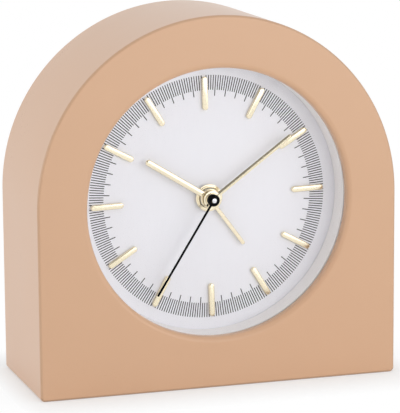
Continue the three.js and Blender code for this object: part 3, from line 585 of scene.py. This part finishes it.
# Each finish: how far its colour varies, its roughness and how far that varies, its grains per metre and its
# bump; and where they differ from the rest its metal, its grain's stretch in x, y and z, its sheen and gloss
Finish = namedtuple(
    "Finish", "spread rough rough_spread grain bump metallic stretch sheen gloss",
    defaults=(0.0, (1.0, 1.0, 1.0), 0.0, 0.5))
FINISHES = {
    "lacquer": Finish(0.012, 0.3, 0.03, 2600.0, 0.004 * MM, sheen=0.12),
    "ring": Finish(0.015, 0.38, 0.04, 1800.0, 0.003 * MM),
    "dial": Finish(0.012, 0.45, 0.05, 2400.0, 0.003 * MM, stretch=(1.0, 1.0, 0.08)),
    "ink": Finish(0.25, 0.6, 0.08, 4000.0, 0.002 * MM, gloss=0.15),
    "gold": Finish(0.04, 0.2, 0.05, 1500.0, 0.001 * MM, metallic=1.0),
    "black": Finish(0.2, 0.42, 0.06, 3000.0, 0.002 * MM, gloss=0.05),
    "bright": Finish(0.02, 0.16, 0.04, 1500.0, 0.001 * MM, metallic=1.0),
    "steel": Finish(0.06, 0.36, 0.08, 1800.0, 0.003 * MM, metallic=1.0),
    "brass": Finish(0.06, 0.3, 0.07, 1800.0, 0.003 * MM, metallic=1.0),
    "copper": Finish(0.1, 0.34, 0.08, 900.0, 0.03 * MM, metallic=1.0, stretch=(0.2, 0.2, 6.0)),
    "back": Finish(0.12, 0.55, 0.06, 2200.0, 0.02 * MM),
    "ivory": Finish(0.03, 0.5, 0.05, 1600.0, 0.008 * MM),
    "white": Finish(0.02, 0.45, 0.05, 1600.0, 0.006 * MM),
    "board": Finish(0.1, 0.4, 0.08, 700.0, 0.01 * MM),
    "cell": Finish(0.05, 0.32, 0.05, 900.0, 0.002 * MM, metallic=0.4, stretch=(0.1, 1.0, 1.0)),
    "crystal": Finish(0.01, 0.05, 0.02, 300.0, 0.0),
}


def finished(slot):
    """The material of a slot."""
    return bpy.data.materials["clock_" + slot]


def shade(values, factor):
    """A colour made lighter or darker, with its alpha."""
    return tuple(min(1.0, value * factor) for value in values) + (1.0,)


def surface(slot, tint):
    """A procedural finish: fine grain in its colour, roughness and bump, over a broad mottle."""
    finish = FINISHES[slot]
    material = bpy.data.materials.new("clock_" + slot)
    material.use_nodes = True
    tree = material.node_tree
    shader = tree.nodes["Principled BSDF"].inputs
    shader["Metallic"].default_value = finish.metallic
    shader["Sheen Weight"].default_value = finish.sheen
    shader["Specular IOR Level"].default_value = finish.gloss
    place = wire(tree, "ShaderNodeTexCoord").outputs["Object"]
    along = wire(tree, "ShaderNodeMapping", {"Vector": place, "Scale": finish.stretch}).outputs[0]
    fine = wire(tree, "ShaderNodeTexNoise", {
        "Vector": along, "Scale": finish.grain, "Detail": FINE_DETAIL}).outputs[0]
    broad = wire(tree, "ShaderNodeTexNoise", {
        "Vector": place, "Scale": MOTTLE, "Detail": BROAD_DETAIL}).outputs[0]
    blend = compute(tree, "ADD", compute(tree, "MULTIPLY", fine, 0.5), compute(tree, "MULTIPLY", broad, 0.5))
    ramp = wire(tree, "ShaderNodeValToRGB", {"Fac": blend})
    low, high = ramp.color_ramp.elements
    low.position, high.position = NOISE_LOW, NOISE_HIGH
    low.color, high.color = shade(tint, 1 - finish.spread), shade(tint, 1 + finish.spread)
    rough = mapped(
        tree, blend, finish.rough - finish.rough_spread, finish.rough + finish.rough_spread,
        NOISE_LOW, NOISE_HIGH)
    relief = wire(tree, "ShaderNodeBump", {"Strength": 1.0, "Distance": finish.bump, "Height": fine})
    tree.links.new(ramp.outputs[0], shader["Base Color"])
    tree.links.new(rough, shader["Roughness"])
    tree.links.new(relief.outputs[0], shader["Normal"])


def shade_edges(tint):
    """Paints shade into the lacquer along the roundings of the case's outer edges: a dark line, strongest at
    the base.
    """
    tree = finished("lacquer").node_tree
    base = tree.nodes["Principled BSDF"].inputs["Base Color"]
    # The edge attribute holds each point's share of painted shade
    edge_shade = wire(tree, "ShaderNodeAttribute", attribute_name="edge").outputs["Fac"]
    mixed = wire(tree, "ShaderNodeMix", {
        MIX_FACTOR: edge_shade, MIX_FIRST: base.links[0].from_socket, MIX_SECOND: shade(tint, EDGE_SHADE_TONE)},
        data_type="RGBA")
    tree.links.new(mixed.outputs[MIX_RESULT], base)


def clear_crystal():
    """Lets nearly all light straight through the crystal."""
    shader = finished("crystal").node_tree.nodes["Principled BSDF"]
    shader.inputs["Alpha"].default_value = CRYSTAL_ALPHA


class CLOCK_OT_finishes(bpy.types.Operator):
    """Make the finishes and dress the CAD nodes that stay in view"""

    bl_idname = "clock.finishes"
    bl_label = "Finishes"

    def execute(self, context):
        tint = context.scene.clock_colours
        for slot in FINISHES:
            surface(slot, getattr(tint, slot))
        # Painted shade along the case's outer edges
        shade_edges(tint.lacquer)
        clear_crystal()
        for entry in frame["record"]["subparts"]:
            for slot in frame["nodes"][entry["node"]].material_slots:
                slot.material = finished(entry["material_slot"])
        return {"FINISHED"}


# Case

# How much shade is painted on the lacquer along the arch's edges, where that along the base's edges is 1
ARCH_EDGE_SHADE = 0.5
# Steps along a straight edge, round a bottom corner, round half the arch and round an edge's rounding
EDGE_STEPS, CORNER_STEPS, ARCH_STEPS, ROUNDING_STEPS = 24, 8, 60, 5
# The narrow strip beside a rounding that keeps the face next to it flat
STRIP = 0.25 * MM
# The least rounding of the bottom corners on the inside
INNER_CORNER = 0.1 * MM


def arch(sizes, inset):
    """The case's outline (x, z) set in from its outside, from the middle of the base round to it again."""
    half = BAND_HIGH.x - inset
    corner = max(sizes.corner - inset, INNER_CORNER)
    foot = BAND_LOW.z + inset
    right = [((half - corner) * k / EDGE_STEPS, foot) for k in range(EDGE_STEPS)]
    for k in range(CORNER_STEPS + 1):
        bend = math.pi / 2 * (k / CORNER_STEPS - 1)
        right.append((half - corner + corner * math.cos(bend), foot + corner + corner * math.sin(bend)))
    start = foot + corner
    right += [(half, start + (ARCH_HEIGHT - start) * k / EDGE_STEPS) for k in range(1, EDGE_STEPS + 1)]
    for bend in quarter(ARCH_STEPS)[1:]:
        right.append((half * math.cos(bend), ARCH_HEIGHT + half * math.sin(bend)))
    return right + [(-x, z) for x, z in reversed(right[1:-1])]


class CLOCK_OT_case(bpy.types.Operator):
    """Build the case moulding: arch, round opening, recessed back, screw bosses and posts"""

    bl_idname = "clock.case"
    bl_label = "Case"

    def execute(self, context):
        sizes = context.scene.clock_case
        front, back = FRONT_LOW.y, BAND_HIGH.y
        inner = front + sizes.front_wall
        turns = [math.atan2(z - DIAL_HEIGHT, x) for x, z in arch(sizes, 0.0)]
        bends = quarter(ROUNDING_STEPS)
        bm = bmesh.new()
        # Each point's share of painted shade: a dark line along the roundings of the outer edges
        edge = bm.verts.layers.float.new("edge")

        def round_ring(radius, y):
            return ring(bm, [(radius * math.cos(t), y, DIAL_HEIGHT + radius * math.sin(t)) for t in turns])

        def arch_ring(inset, y, shade_share=0.0):
            made = ring(bm, [(x, y, z) for x, z in arch(sizes, inset)])
            for vertex in made:
                # The painted shade is full along the base, where the case stands on the floor, and half along
                # the arch
                vertex[edge] = shade_share * (1.0 if vertex.co.z < BAND_LOW.z + sizes.corner else ARCH_EDGE_SHADE)
            return made

        rings = [round_ring(sizes.aperture, inner)]
        for bend in bends:
            radius = sizes.aperture + sizes.lip * (1 - math.cos(bend))
            rings.append(round_ring(radius, front + sizes.lip * (1 - math.sin(bend))))
        rings.append(round_ring(sizes.aperture + sizes.lip + STRIP, front))
        rings.append(arch_ring(sizes.edge + STRIP, front))
        for bend in bends:
            inset, depth = sizes.edge * (1 - math.sin(bend)), sizes.edge * (1 - math.cos(bend))
            rings.append(arch_ring(inset, front + depth, math.sin(2 * bend)))
        rings.append(arch_ring(0.0, front + sizes.edge + STRIP))
        rings.append(arch_ring(0.0, back - sizes.edge - STRIP))
        for bend in bends:
            inset, depth = sizes.edge * (1 - math.cos(bend)), sizes.edge * (1 - math.sin(bend))
            rings.append(arch_ring(inset, back - depth, math.sin(2 * bend)))
        rings.append(arch_ring(sizes.side_wall - sizes.lip, back))
        rings.append(arch_ring(sizes.side_wall, back - sizes.lip))
        rings.append(arch_ring(sizes.side_wall, inner))
        skin(bm, rings, closed=True)
        self.add_mounts(bm, sizes, inner)
        fit("case_body", to_mesh(bm, "case_body"), "lacquer", "case", "case_front", "case_band")
        return {"FINISHED"}

    def add_mounts(self, bm, sizes, inner):
        """The crystal's rim, and the bosses and posts under the screws."""
        foot = inner - SUNK
        rear = COVER_HIGH.y - sizes.cover - ROOM
        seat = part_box("movement_plate")[0].y - ROOM
        rim_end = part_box("crystal")[1].y
        tubes = [(0.0, DIAL_HEIGHT, sizes.rim, sizes.rim + sizes.rim_wall, rim_end, LARGE_ROUND)]
        for nodes, radius, end in ((REAR_SCREWS, sizes.boss, rear), (MOVEMENT_SCREWS, sizes.post, seat)):
            for middle in map(middle_of, nodes):
                tubes.append((middle.x, middle.z, sizes.bore, radius, end, TUBE_ROUND))
        made = bmesh.new()
        for x, z, bore, radius, end, steps in tubes:
            lathe(made, ((bore, foot), (radius, foot), (radius, end), (bore, end)), steps, -x, z)
        mesh = bpy.data.meshes.new("case_mounts")
        made.to_mesh(mesh)
        made.free()
        mesh.transform(BACK)
        bm.from_mesh(mesh)
        bpy.data.meshes.remove(mesh)


# Dial

class CLOCK_OT_ring(bpy.types.Operator):
    """Build the pale ring that stands from the dial up to the crystal"""

    bl_idname = "clock.ring"
    bl_label = "Ring"

    def execute(self, context):
        sizes = context.scene.clock_dial
        low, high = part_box("dial_ring")
        foot, top = DIAL_LOW.y - high.y, DIAL_LOW.y - low.y
        inner = sizes.ring_inner
        outer = inner + sizes.ring_wall
        edge = sizes.ring_edge
        profile = rounded([
            (inner, foot, 0), (outer, foot, 0), (outer, top - sizes.ring_flange, 0),
            (high.x, top - sizes.ring_flange, 0), (high.x, top, edge), (inner, top, edge)])
        bm = bmesh.new()
        lathe(bm, profile, RING_ROUND)
        fit("dial_ring_fine", to_mesh(bm, "dial_ring_fine", FACE), "ring", "case", "dial_ring")
        return {"FINISHED"}


class CLOCK_OT_track(bpy.types.Operator):
    """Print the minute track"""

    bl_idname = "clock.track"
    bl_label = "Minute track"

    def execute(self, context):
        sizes = context.scene.clock_dial
        track = grown("minute_track", minute_track(), {
            "Ticks": sizes.ticks, "Radius": sizes.track, "Tick": sizes.tick, "Minute Tick": sizes.minute_tick,
            "Width": sizes.tick_width, "Height": 2 * sizes.print_height, "Finish": finished("ink")})
        track.transform(FACE @ Matrix.Rotation(sizes.turn, 4, "Z"))
        fit("minute_track", track, "black", "case", finish="ink")
        return {"FINISHED"}


class CLOCK_OT_markers(bpy.types.Operator):
    """Build the twelve polished hour markers, bars with rounded upper edges"""

    bl_idname = "clock.markers"
    bl_label = "Hour markers"

    def execute(self, context):
        sizes = context.scene.clock_dial
        outline = bar_outline(sizes.marker_inner, sizes.marker_outer, sizes.marker_width)
        bm = bmesh.new()
        prism(bm, cushioned(outline, sizes.marker_seat, sizes.marker_top, sizes.marker_round))
        bar = to_object("marker_bar", to_mesh(bm, "marker_bar"))
        bars = grown("hour_markers", round_copies(), {
            "Count": len(HOUR_MARKERS), "Finish": finished("gold")}, piece=bar)
        bars.transform(FACE @ Matrix.Rotation(sizes.turn, 4, "Z"))
        fit("hour_markers", bars, "gold", "case", *HOUR_MARKERS)
        return {"FINISHED"}


# Hands

# Steps round a blade's tip, and the shares of the blade's thickness that are left there and at its very end
TIP_STEPS, TIP_RISE, TIP_END = 9, 0.45, 0.2
# Where a blade starts outside its hub's bore, and the rounding of a hub's edges
BLADE_START, HUB_EDGE = 0.05 * MM, 0.1 * MM


def add_blade(bm, section, start, end, width, base, thickness):
    """A bar along y with a round tip."""
    half = width / 2
    stations = [(start, 1.0)]
    for bend in quarter(TIP_STEPS)[:-1]:
        stations.append((end - half + half * math.sin(bend), math.cos(bend)))
    rings = []
    for y, share in stations:
        rise = TIP_RISE + (1 - TIP_RISE) * share
        rings.append(ring(bm, [(u * half * share, y, base + v * thickness * rise) for u, v in section]))
    rings.append(pole(bm, (0.0, end, base + TIP_END * thickness), len(section)))
    skin(bm, rings)
    bm.faces.new(rings[0])


class CLOCK_OT_hands(bpy.types.Operator):
    """Build the four hands"""

    bl_idname = "clock.hands"
    bl_label = "Hands"

    def execute(self, context):
        sizes = context.scene.clock_hands
        for node, hand in HANDS.items():
            base = sizes.first + hand.place * sizes.spacing
            dark = node == "second_hand"
            start = hand.bore + BLADE_START
            bm = bmesh.new()
            add_blade(bm, hand.section, start, hand.length, hand.width, base, sizes.thickness)
            self.add_hub(bm, sizes, base, hand.hub, hand.bore, dark)
            turned = FACE @ Matrix.Rotation(-math.radians(hand.clockwise), 4, "Z")
            mesh = to_mesh(bm, node + "_fine", turned)
            fit(node + "_fine", mesh, "black" if dark else "gold", hand.body, node)
        return {"FINISHED"}

    def add_hub(self, bm, sizes, base, hub, bore, flat):
        """A disc with a rounded edge and a bush behind, and a collar round the pipe where it has room."""
        bush = bore + sizes.bush_wall
        top = base + sizes.hub_rise
        corners = [
            (bore, base - sizes.bush_drop, 0), (bush, base - sizes.bush_drop, 0), (bush, base, 0),
            (hub, base, 0), (hub, top, HUB_EDGE)]
        if flat or bush >= hub:
            corners += [(bore, top, HUB_EDGE)]
        else:
            rim = top + sizes.collar_rise
            corners += [(bush, top, 0), (bush, rim, HUB_EDGE), (bore, rim, HUB_EDGE)]
        lathe(bm, rounded(corners), LARGE_ROUND)


class CLOCK_OT_cap(bpy.types.Operator):
    """Build the bright cap in the middle of the second hand"""

    bl_idname = "clock.cap"
    bl_label = "Cap"

    def execute(self, context):
        sizes = context.scene.clock_hands
        base = sizes.first + HANDS["second_hand"].place * sizes.spacing
        top = base + sizes.thickness + sizes.cap_rise
        foot = base - sizes.bush_drop
        roof = top - sizes.cap_edge
        profile = [(0.0, roof), (sizes.cap_bore, roof), (sizes.cap_bore, foot)]
        profile += rounded([(sizes.cap, foot, 0), (sizes.cap, top, sizes.cap_edge), (0.0, top, 0)])
        bm = bmesh.new()
        lathe(bm, profile, SMALL_ROUND)
        fit("second_hand_cap_fine", to_mesh(bm, "second_hand_cap_fine", FACE), "bright", "second_arbor",
            "second_hand_cap")
        return {"FINISHED"}


# Back

# A knob's face: its rim's inside and its dish, as shares of the core's radius, and how much deeper the dish
# is in its middle; and the steps round a grip rib
KNOB_RIM, KNOB_DISH, DISH_MIDDLE = 0.7, 0.62, 1.15
KNOB_RIB_STEPS = 8
# A screw's tip; its dome, as shares of the head's height and radius; its recess, as shares of the radius and
# the height
SCREW_TIP = 0.4 * MM
DOME_HEIGHT, DOME_FLAT, DOME_STEPS = 0.45, 0.25, 7
RECESS_REACH, RECESS_DEPTH = 0.68, 0.5
# The rounding of the battery door's foot, as a share of its thickness; how many grip ribs it has, how far
# from its top the first is, how deep they are sunk, and their roundings as shares of their width and height
DOOR_FOOT, DOOR_STEPS = 0.49, 6
GRIPS, GRIP_FIRST, GRIP_SUNK = 4, 2.2 * MM, 0.1 * MM
GRIP_CORNER, GRIP_EDGE = 0.45, 0.8
# The alarm switch: its slider's corners, where its nub starts as a share of the slider's thickness, and the
# ribs on the nub
SLIDER_CORNER, NUB_FOOT = 0.3 * MM, 0.5
NUB_RIB_PLACES = (-0.95 * MM, 0.0, 0.95 * MM)
NUB_RIB_HALF, NUB_RIB_MARGIN, NUB_RIB_EDGE = 0.22 * MM, 0.3 * MM, 0.15 * MM
NUB_RIB_RISE, NUB_RIB_HEIGHT = 0.3 * MM, 0.5 * MM


class CLOCK_OT_knobs(bpy.types.Operator):
    """Build the two ribbed setting knobs"""

    bl_idname = "clock.knobs"
    bl_label = "Knobs"

    def execute(self, context):
        sizes = context.scene.clock_back
        for node, body in (("time_knob", "time_setting_shaft"), ("alarm_knob", "alarm_setting_shaft")):
            low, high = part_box(node)
            middle = middle_of(node)
            thick = sizes.knob_rib
            core = (high.z - low.z) / 2 - thick
            rise = high.y - low.y
            profile = [(0.0, rise / 2), (sizes.knob_bore, rise / 2), (sizes.knob_bore, 0.0)]
            profile += rounded([
                (core, 0.0, 0), (core, rise, sizes.knob_edge), (KNOB_RIM * core, rise, 0),
                (KNOB_DISH * core, rise - sizes.knob_dish, 0)])
            profile.append((0.0, rise - DISH_MIDDLE * sizes.knob_dish))
            bm = bmesh.new()
            lathe(bm, profile, LARGE_ROUND)
            knob = to_mesh(bm, node + "_core")
            turns = [math.pi * k / KNOB_RIB_STEPS - math.pi / 2 for k in range(KNOB_RIB_STEPS + 1)]
            outline = [(core - thick, -thick)]
            outline += [(core + thick * math.cos(turn), thick * math.sin(turn)) for turn in turns]
            outline.append((core - thick, thick))
            bm = bmesh.new()
            prism(bm, raised(outline, 0.0, rise - sizes.knob_edge))
            rib = to_object(node + "_rib", to_mesh(bm, node + "_rib"))
            ribs = grown(node + "_ribs", round_copies(), {
                "Count": sizes.knob_ribs, "Finish": finished("back")}, piece=rib)
            whole = joined(node + "_fine", [knob, ribs])
            whole.transform(Matrix.Translation((middle.x, low.y, middle.z)) @ BACK)
            fit(node + "_fine", whole, "back", body, node)
        return {"FINISHED"}


class CLOCK_OT_screws(bpy.types.Operator):
    """Build the four rear cover screws with their cross recesses"""

    bl_idname = "clock.screws"
    bl_label = "Screws"

    def execute(self, context):
        sizes = context.scene.clock_back
        low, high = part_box(REAR_SCREWS[0])
        tall = high.y - low.y
        head = high.y - sizes.screw_height - low.y
        dome = DOME_HEIGHT * sizes.screw_height
        profile = [
            (0.0, 0.0), (sizes.screw_shank, SCREW_TIP), (sizes.screw_shank, head), (sizes.screw_head, head)]
        for bend in quarter(DOME_STEPS)[:-1]:
            share = DOME_FLAT + (1 - DOME_FLAT) * math.cos(bend)
            profile.append((sizes.screw_head * share, tall - dome + dome * math.sin(bend)))
        profile.append((0.0, tall))
        bm = bmesh.new()
        lathe(bm, profile, SMALL_ROUND)
        screw = to_object("screw_blank", to_mesh(bm, "screw_blank"))
        cutter = to_object("screw_cutter", self.cross(sizes, tall))
        recess = screw.modifiers.new("recess", "BOOLEAN")
        recess.object = cutter
        recess.operation = "DIFFERENCE"
        recess.solver = "EXACT"
        piece = to_object("screw_piece", settled(screw))
        bpy.data.objects.remove(cutter)
        seats = bpy.data.meshes.new("screw_seats")
        middles = map(middle_of, REAR_SCREWS)
        seats.from_pydata([(-middle.x, middle.z, low.y) for middle in middles], [], [])
        screws = grown("rear_screws", point_copies(), {"Finish": finished("steel")}, seats, piece)
        screws.transform(BACK)
        fit("rear_screws", screws, "steel", "case", *REAR_SCREWS)
        return {"FINISHED"}

    def cross(self, sizes, tall):
        """The cutter of a cross recess."""
        reach = RECESS_REACH * sizes.screw_head
        narrow = sizes.screw_cross / 2
        deep = tall - RECESS_DEPTH * sizes.screw_height
        outline = [
            (narrow, -reach), (narrow, -narrow), (reach, -narrow), (reach, narrow), (narrow, narrow),
            (narrow, reach), (-narrow, reach), (-narrow, narrow), (-reach, narrow), (-reach, -narrow),
            (-narrow, -narrow), (-narrow, -reach)]
        bm = bmesh.new()
        prism(bm, raised(outline, deep, tall + MM))
        return to_mesh(bm, "screw_cutter")


class CLOCK_OT_door(bpy.types.Operator):
    """Build the battery door: a flap with a round foot on two pins, and ribs to grip"""

    bl_idname = "clock.door"
    bl_label = "Battery door"

    def execute(self, context):
        sizes = context.scene.clock_back
        low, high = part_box("battery_door")
        half = high.x - sizes.door_pin_length
        thick = high.y - low.y
        foot, edge = DOOR_FOOT * thick, sizes.door_edge
        section = rounded([
            (low.y, low.z, foot), (high.y, low.z, foot), (high.y, high.z, edge), (low.y, high.z, edge)],
            DOOR_STEPS)
        axis = Vector((0.0, (low.y + high.y) / 2, low.z + thick / 2))
        bm = bmesh.new()
        prism(bm, [[Vector((x, y, z)) for y, z in section] for x in (-half, half)])
        for side in (-1, 1):
            pin = circle(sizes.door_pin, 0.0, PIN_ROUND)
            ends = (side * (half - SUNK), side * high.x)
            prism(bm, [[axis + Vector((x, p.x, p.y)) for p in pin] for x in ends])
        flap = to_mesh(bm, "door_flap")
        outline = box_outline(
            -sizes.grip_length / 2, sizes.grip_length / 2, -sizes.grip_width / 2, sizes.grip_width / 2,
            GRIP_CORNER * sizes.grip_width)
        bm = bmesh.new()
        prism(bm, cushioned(outline, -GRIP_SUNK, sizes.grip_rise, GRIP_EDGE * sizes.grip_rise))
        rib = to_object("door_rib", to_mesh(bm, "door_rib"))
        seats = bpy.data.meshes.new("door_rib_seats")
        first = high.z - GRIP_FIRST
        seats.from_pydata([(0.0, first - k * sizes.grip_spacing, high.y) for k in range(GRIPS)], [], [])
        ribs = grown("door_ribs", point_copies(), {"Finish": finished("back")}, seats, rib)
        ribs.transform(BACK)
        fit("battery_door_fine", joined("battery_door_fine", [flap, ribs]), "back", "door", "battery_door")
        return {"FINISHED"}


class CLOCK_OT_switch(bpy.types.Operator):
    """Build the alarm switch: a slider with a ribbed nub that comes through the cover"""

    bl_idname = "clock.switch"
    bl_label = "Alarm switch"

    def execute(self, context):
        sizes = context.scene.clock_back
        low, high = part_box("alarm_switch")
        middle = middle_of("alarm_switch")
        half = sizes.nub / 2
        reach = half - NUB_RIB_MARGIN
        base = box_outline(
            low.x - middle.x, high.x - middle.x, low.z - middle.z, high.z - middle.z, SLIDER_CORNER)
        nub = box_outline(-half, half, -half, half, sizes.nub_edge)
        foot = low.y + NUB_FOOT * sizes.switch_base
        bm = bmesh.new()
        prism(bm, raised(base(0.0), low.y, low.y + sizes.switch_base))
        prism(bm, cushioned(nub, foot, high.y - NUB_RIB_RISE, sizes.nub_edge))
        slider = to_mesh(bm, "switch_slider")
        outline = box_outline(-NUB_RIB_HALF, NUB_RIB_HALF, -reach, reach, NUB_RIB_EDGE)
        bm = bmesh.new()
        prism(bm, cushioned(outline, -NUB_RIB_HEIGHT, 0.0, NUB_RIB_EDGE))
        rib = to_object("nub_rib", to_mesh(bm, "nub_rib"))
        seats = bpy.data.meshes.new("nub_rib_seats")
        seats.from_pydata([(x, 0.0, high.y) for x in NUB_RIB_PLACES], [], [])
        ribs = grown("nub_ribs", point_copies(), {"Finish": finished("white")}, seats, rib)
        whole = joined("alarm_switch_fine", [slider, ribs])
        whole.transform(Matrix.Translation((middle.x, 0.0, middle.z)) @ BACK)
        fit("alarm_switch_fine", whole, "white", "switch_slider", "alarm_switch")
        return {"FINISHED"}


# Stage

# Each light: the width of its square, its place, and whether mirrors show it
LIGHTS = {
    "key": (0.45, (0.27, -0.47, 0.08), True),
    "fill": (0.6, (-0.9, 0.1, 0.06), True),
    "top": (0.6, (0.1, -0.35, 0.8), True),
    "front": (0.3, (0.2, -0.9, 0.2), False),
}
# The floor's tone and roughness, and the share of plain white in it: at the clock, from where it grows to all
# white over a distance, with how much each direction counts
FLOOR_TONE, FLOOR_ROUGHNESS = 0.97, 0.9
NEAR_WHITE, WHITE_REACH, SIDE_WEIGHT = 0.5, 0.02, (3.0, 1.0, 1.0)
# The white's level where the clock stands on the floor, and how far that contact shadow goes
CONTACT_LEVEL, CONTACT_REACH = 0.85, 0.018
# The dim room behind and above the camera: its direction, and the half angles of its soft edge
DIM_WAY = Vector((-0.08, -0.86, 0.5)).normalized()
DIM_INNER, DIM_OUTER = math.radians(16), math.radians(34)
# Width of the camera's sensor, in millimetres
SENSOR = 36.0


def seen_rays(tree):
    """One for rays that show what lies behind: from the camera, in mirrors and through glass."""
    path = wire(tree, "ShaderNodeLightPath").outputs
    mirrored = compute(tree, "MAXIMUM", path["Is Glossy Ray"], path["Is Transmission Ray"])
    return compute(tree, "MAXIMUM", path["Is Camera Ray"], mirrored)


class CLOCK_OT_stage(bpy.types.Operator):
    """Set the floor, the lights and the camera at the photograph's view"""

    bl_idname = "clock.stage"
    bl_label = "Stage"

    def execute(self, context):
        sizes = context.scene.clock_stage
        context.scene.view_settings.view_transform = "Standard"
        self.build_floor(sizes)
        self.build_sky(context, sizes)
        target = Vector((0.0, FRONT_LOW.y, BAND_HIGH.z / 2))
        for name, (width, place, mirrored) in LIGHTS.items():
            self.add_light(name + "_light", getattr(sizes, name), width, Vector(place), target, mirrored)
        self.set_camera(context, sizes, target)
        return {"FINISHED"}

    def build_floor(self, sizes):
        """A white floor that keeps the clock's soft shadow."""
        half = sizes.floor / 2
        bm = bmesh.new()
        bm.faces.new(ring(bm, [(-half, -half, 0), (half, -half, 0), (half, half, 0), (-half, half, 0)]))
        material = bpy.data.materials.new("stage_floor")
        material.use_nodes = True
        tree = material.node_tree
        shader = tree.nodes["Principled BSDF"]
        shader.inputs["Base Color"].default_value = (FLOOR_TONE, FLOOR_TONE, FLOOR_TONE, 1.0)
        shader.inputs["Roughness"].default_value = FLOOR_ROUGHNESS
        shader.inputs["Specular IOR Level"].default_value = 0.0
        place = wire(tree, "ShaderNodeTexCoord").outputs["Object"]
        edge = (cad_box[1][0], cad_box[1][1], 0.0)
        outside = vector_math(tree, "SUBTRACT", vector_math(tree, "ABSOLUTE", place)[0], edge)[0]
        clear = vector_math(tree, "MAXIMUM", outside, (0, 0, 0))[0]
        away = vector_math(tree, "LENGTH", vector_math(tree, "MULTIPLY", clear, SIDE_WEIGHT)[0])["Value"]
        white = mapped(tree, away, NEAR_WHITE, 1.0, end=WHITE_REACH)
        # The floor's glow darkens where the clock closes in its sky: a painted contact shadow
        open_sky = wire(tree, "ShaderNodeAmbientOcclusion", {"Distance": CONTACT_REACH}).outputs["AO"]
        glow = wire(tree, "ShaderNodeEmission", {"Strength": mapped(tree, open_sky, CONTACT_LEVEL, 1.0)})
        share = compute(tree, "MULTIPLY", seen_rays(tree), white)
        mixed = wire(tree, "ShaderNodeMixShader", {0: share, 1: shader.outputs[0], 2: glow.outputs[0]})
        tree.links.new(mixed.outputs[0], tree.nodes["Material Output"].inputs["Surface"])
        mesh = to_mesh(bm, "stage_floor")
        mesh.materials.append(material)
        to_object("stage_floor", mesh)

    def build_sky(self, context, sizes):
        """White all round: full white where it is seen, softer as light, dim in mirrors behind the camera."""
        world = bpy.data.worlds.new("stage_sky")
        world.use_nodes = True
        tree = world.node_tree
        background = tree.nodes["Background"]
        background.inputs["Color"].default_value = (1.0, 1.0, 1.0, 1.0)
        path = wire(tree, "ShaderNodeLightPath").outputs
        way = wire(tree, "ShaderNodeTexCoord").outputs["Generated"]
        toward = vector_math(tree, "DOT_PRODUCT", way, DIM_WAY)["Value"]
        room = mapped(
            tree, toward, 1.0, sizes.dim, math.cos(DIM_OUTER), math.cos(DIM_INNER),
            interpolation_type="SMOOTHSTEP")
        mirrored = mapped(tree, path["Is Glossy Ray"], sizes.sky, room)
        seen = compute(tree, "MAXIMUM", path["Is Camera Ray"], path["Is Transmission Ray"])
        tree.links.new(mapped(tree, seen, mirrored, 1.0), background.inputs["Strength"])
        context.scene.world = world

    def add_light(self, name, watts, width, place, target, mirrored):
        """A square soft light that faces the clock; one that isn't mirrored stays out of reflections."""
        lamp = bpy.data.lights.new(name, "AREA")
        lamp.energy = watts
        lamp.size = width
        made = bpy.data.objects.new(name, lamp)
        made.location = place
        made.visible_camera = False
        made.visible_glossy = mirrored
        made.rotation_euler = (target - place).to_track_quat("-Z", "Y").to_euler()
        bpy.context.scene.collection.objects.link(made)

    def set_camera(self, context, sizes, target):
        """The camera, aimed so that the clock stands where the photograph has it."""
        turn, rise = sizes.azimuth, sizes.elevation
        back = Vector((math.sin(turn) * math.cos(rise), -math.cos(turn) * math.cos(rise), math.sin(rise)))
        right = Vector((math.cos(turn), math.sin(turn), 0.0))
        up = back.cross(right)
        place = target + back * sizes.distance
        aim = target - right * sizes.aim_left - up * sizes.aim_down
        lens = bpy.data.cameras.new("camera")
        lens.lens = sizes.lens
        lens.sensor_width = SENSOR
        camera = bpy.data.objects.new("camera", lens)
        facing = (aim - place).to_track_quat("-Z", "Y").to_matrix().to_4x4()
        camera.matrix_world = Matrix.Translation(place) @ facing @ Matrix.Rotation(sizes.roll, 4, "Z")
        context.scene.collection.objects.link(camera)
        context.scene.camera = camera


# Add-on

class CLOCK_PT_parts(bpy.types.Panel):
    """The clock's pieces, in the order in which they are built"""

    bl_idname = "CLOCK_PT_parts"
    bl_label = "Arched clock"
    bl_space_type = "VIEW_3D"
    bl_region_type = "UI"
    bl_category = "Clock"

    def draw(self, context):
        for operator in OPERATORS:
            self.layout.operator(operator.bl_idname)
        for name in GROUPS:
            group = getattr(context.scene, name)
            box = self.layout.box()
            for key in group.__annotations__:
                box.prop(group, key)


GROUPS = {
    "clock_case": ClockCaseSizes, "clock_dial": ClockDialSizes, "clock_hands": ClockHandSizes,
    "clock_back": ClockBackSizes, "clock_colours": ClockColours, "clock_stage": ClockStageSizes,
}
OPERATORS = (
    CLOCK_OT_finishes, CLOCK_OT_case, CLOCK_OT_ring, CLOCK_OT_track, CLOCK_OT_markers, CLOCK_OT_hands,
    CLOCK_OT_cap, CLOCK_OT_knobs, CLOCK_OT_screws, CLOCK_OT_door, CLOCK_OT_switch, CLOCK_OT_stage,
)


def register():
    """Makes the classes known to Blender and gives the scene its sizes and colours."""
    for kind in (*GROUPS.values(), *OPERATORS, CLOCK_PT_parts):
        bpy.utils.register_class(kind)
    for name, kind in GROUPS.items():
        setattr(bpy.types.Scene, name, bpy.props.PointerProperty(type=kind))


def unregister():
    """Takes back what register did."""
    for name in GROUPS:
        delattr(bpy.types.Scene, name)
    for kind in reversed((*GROUPS.values(), *OPERATORS, CLOCK_PT_parts)):
        bpy.utils.unregister_class(kind)


def main():
    """Builds the clock piece by piece."""
    register()
    bpy.ops.clock.finishes()
    bpy.ops.clock.case()
    bpy.ops.clock.ring()
    bpy.ops.clock.track()
    bpy.ops.clock.markers()
    bpy.ops.clock.hands()
    bpy.ops.clock.cap()
    bpy.ops.clock.knobs()
    bpy.ops.clock.screws()
    bpy.ops.clock.door()
    bpy.ops.clock.switch()
    bpy.ops.clock.stage()


if __name__ == "__main__":
    main()
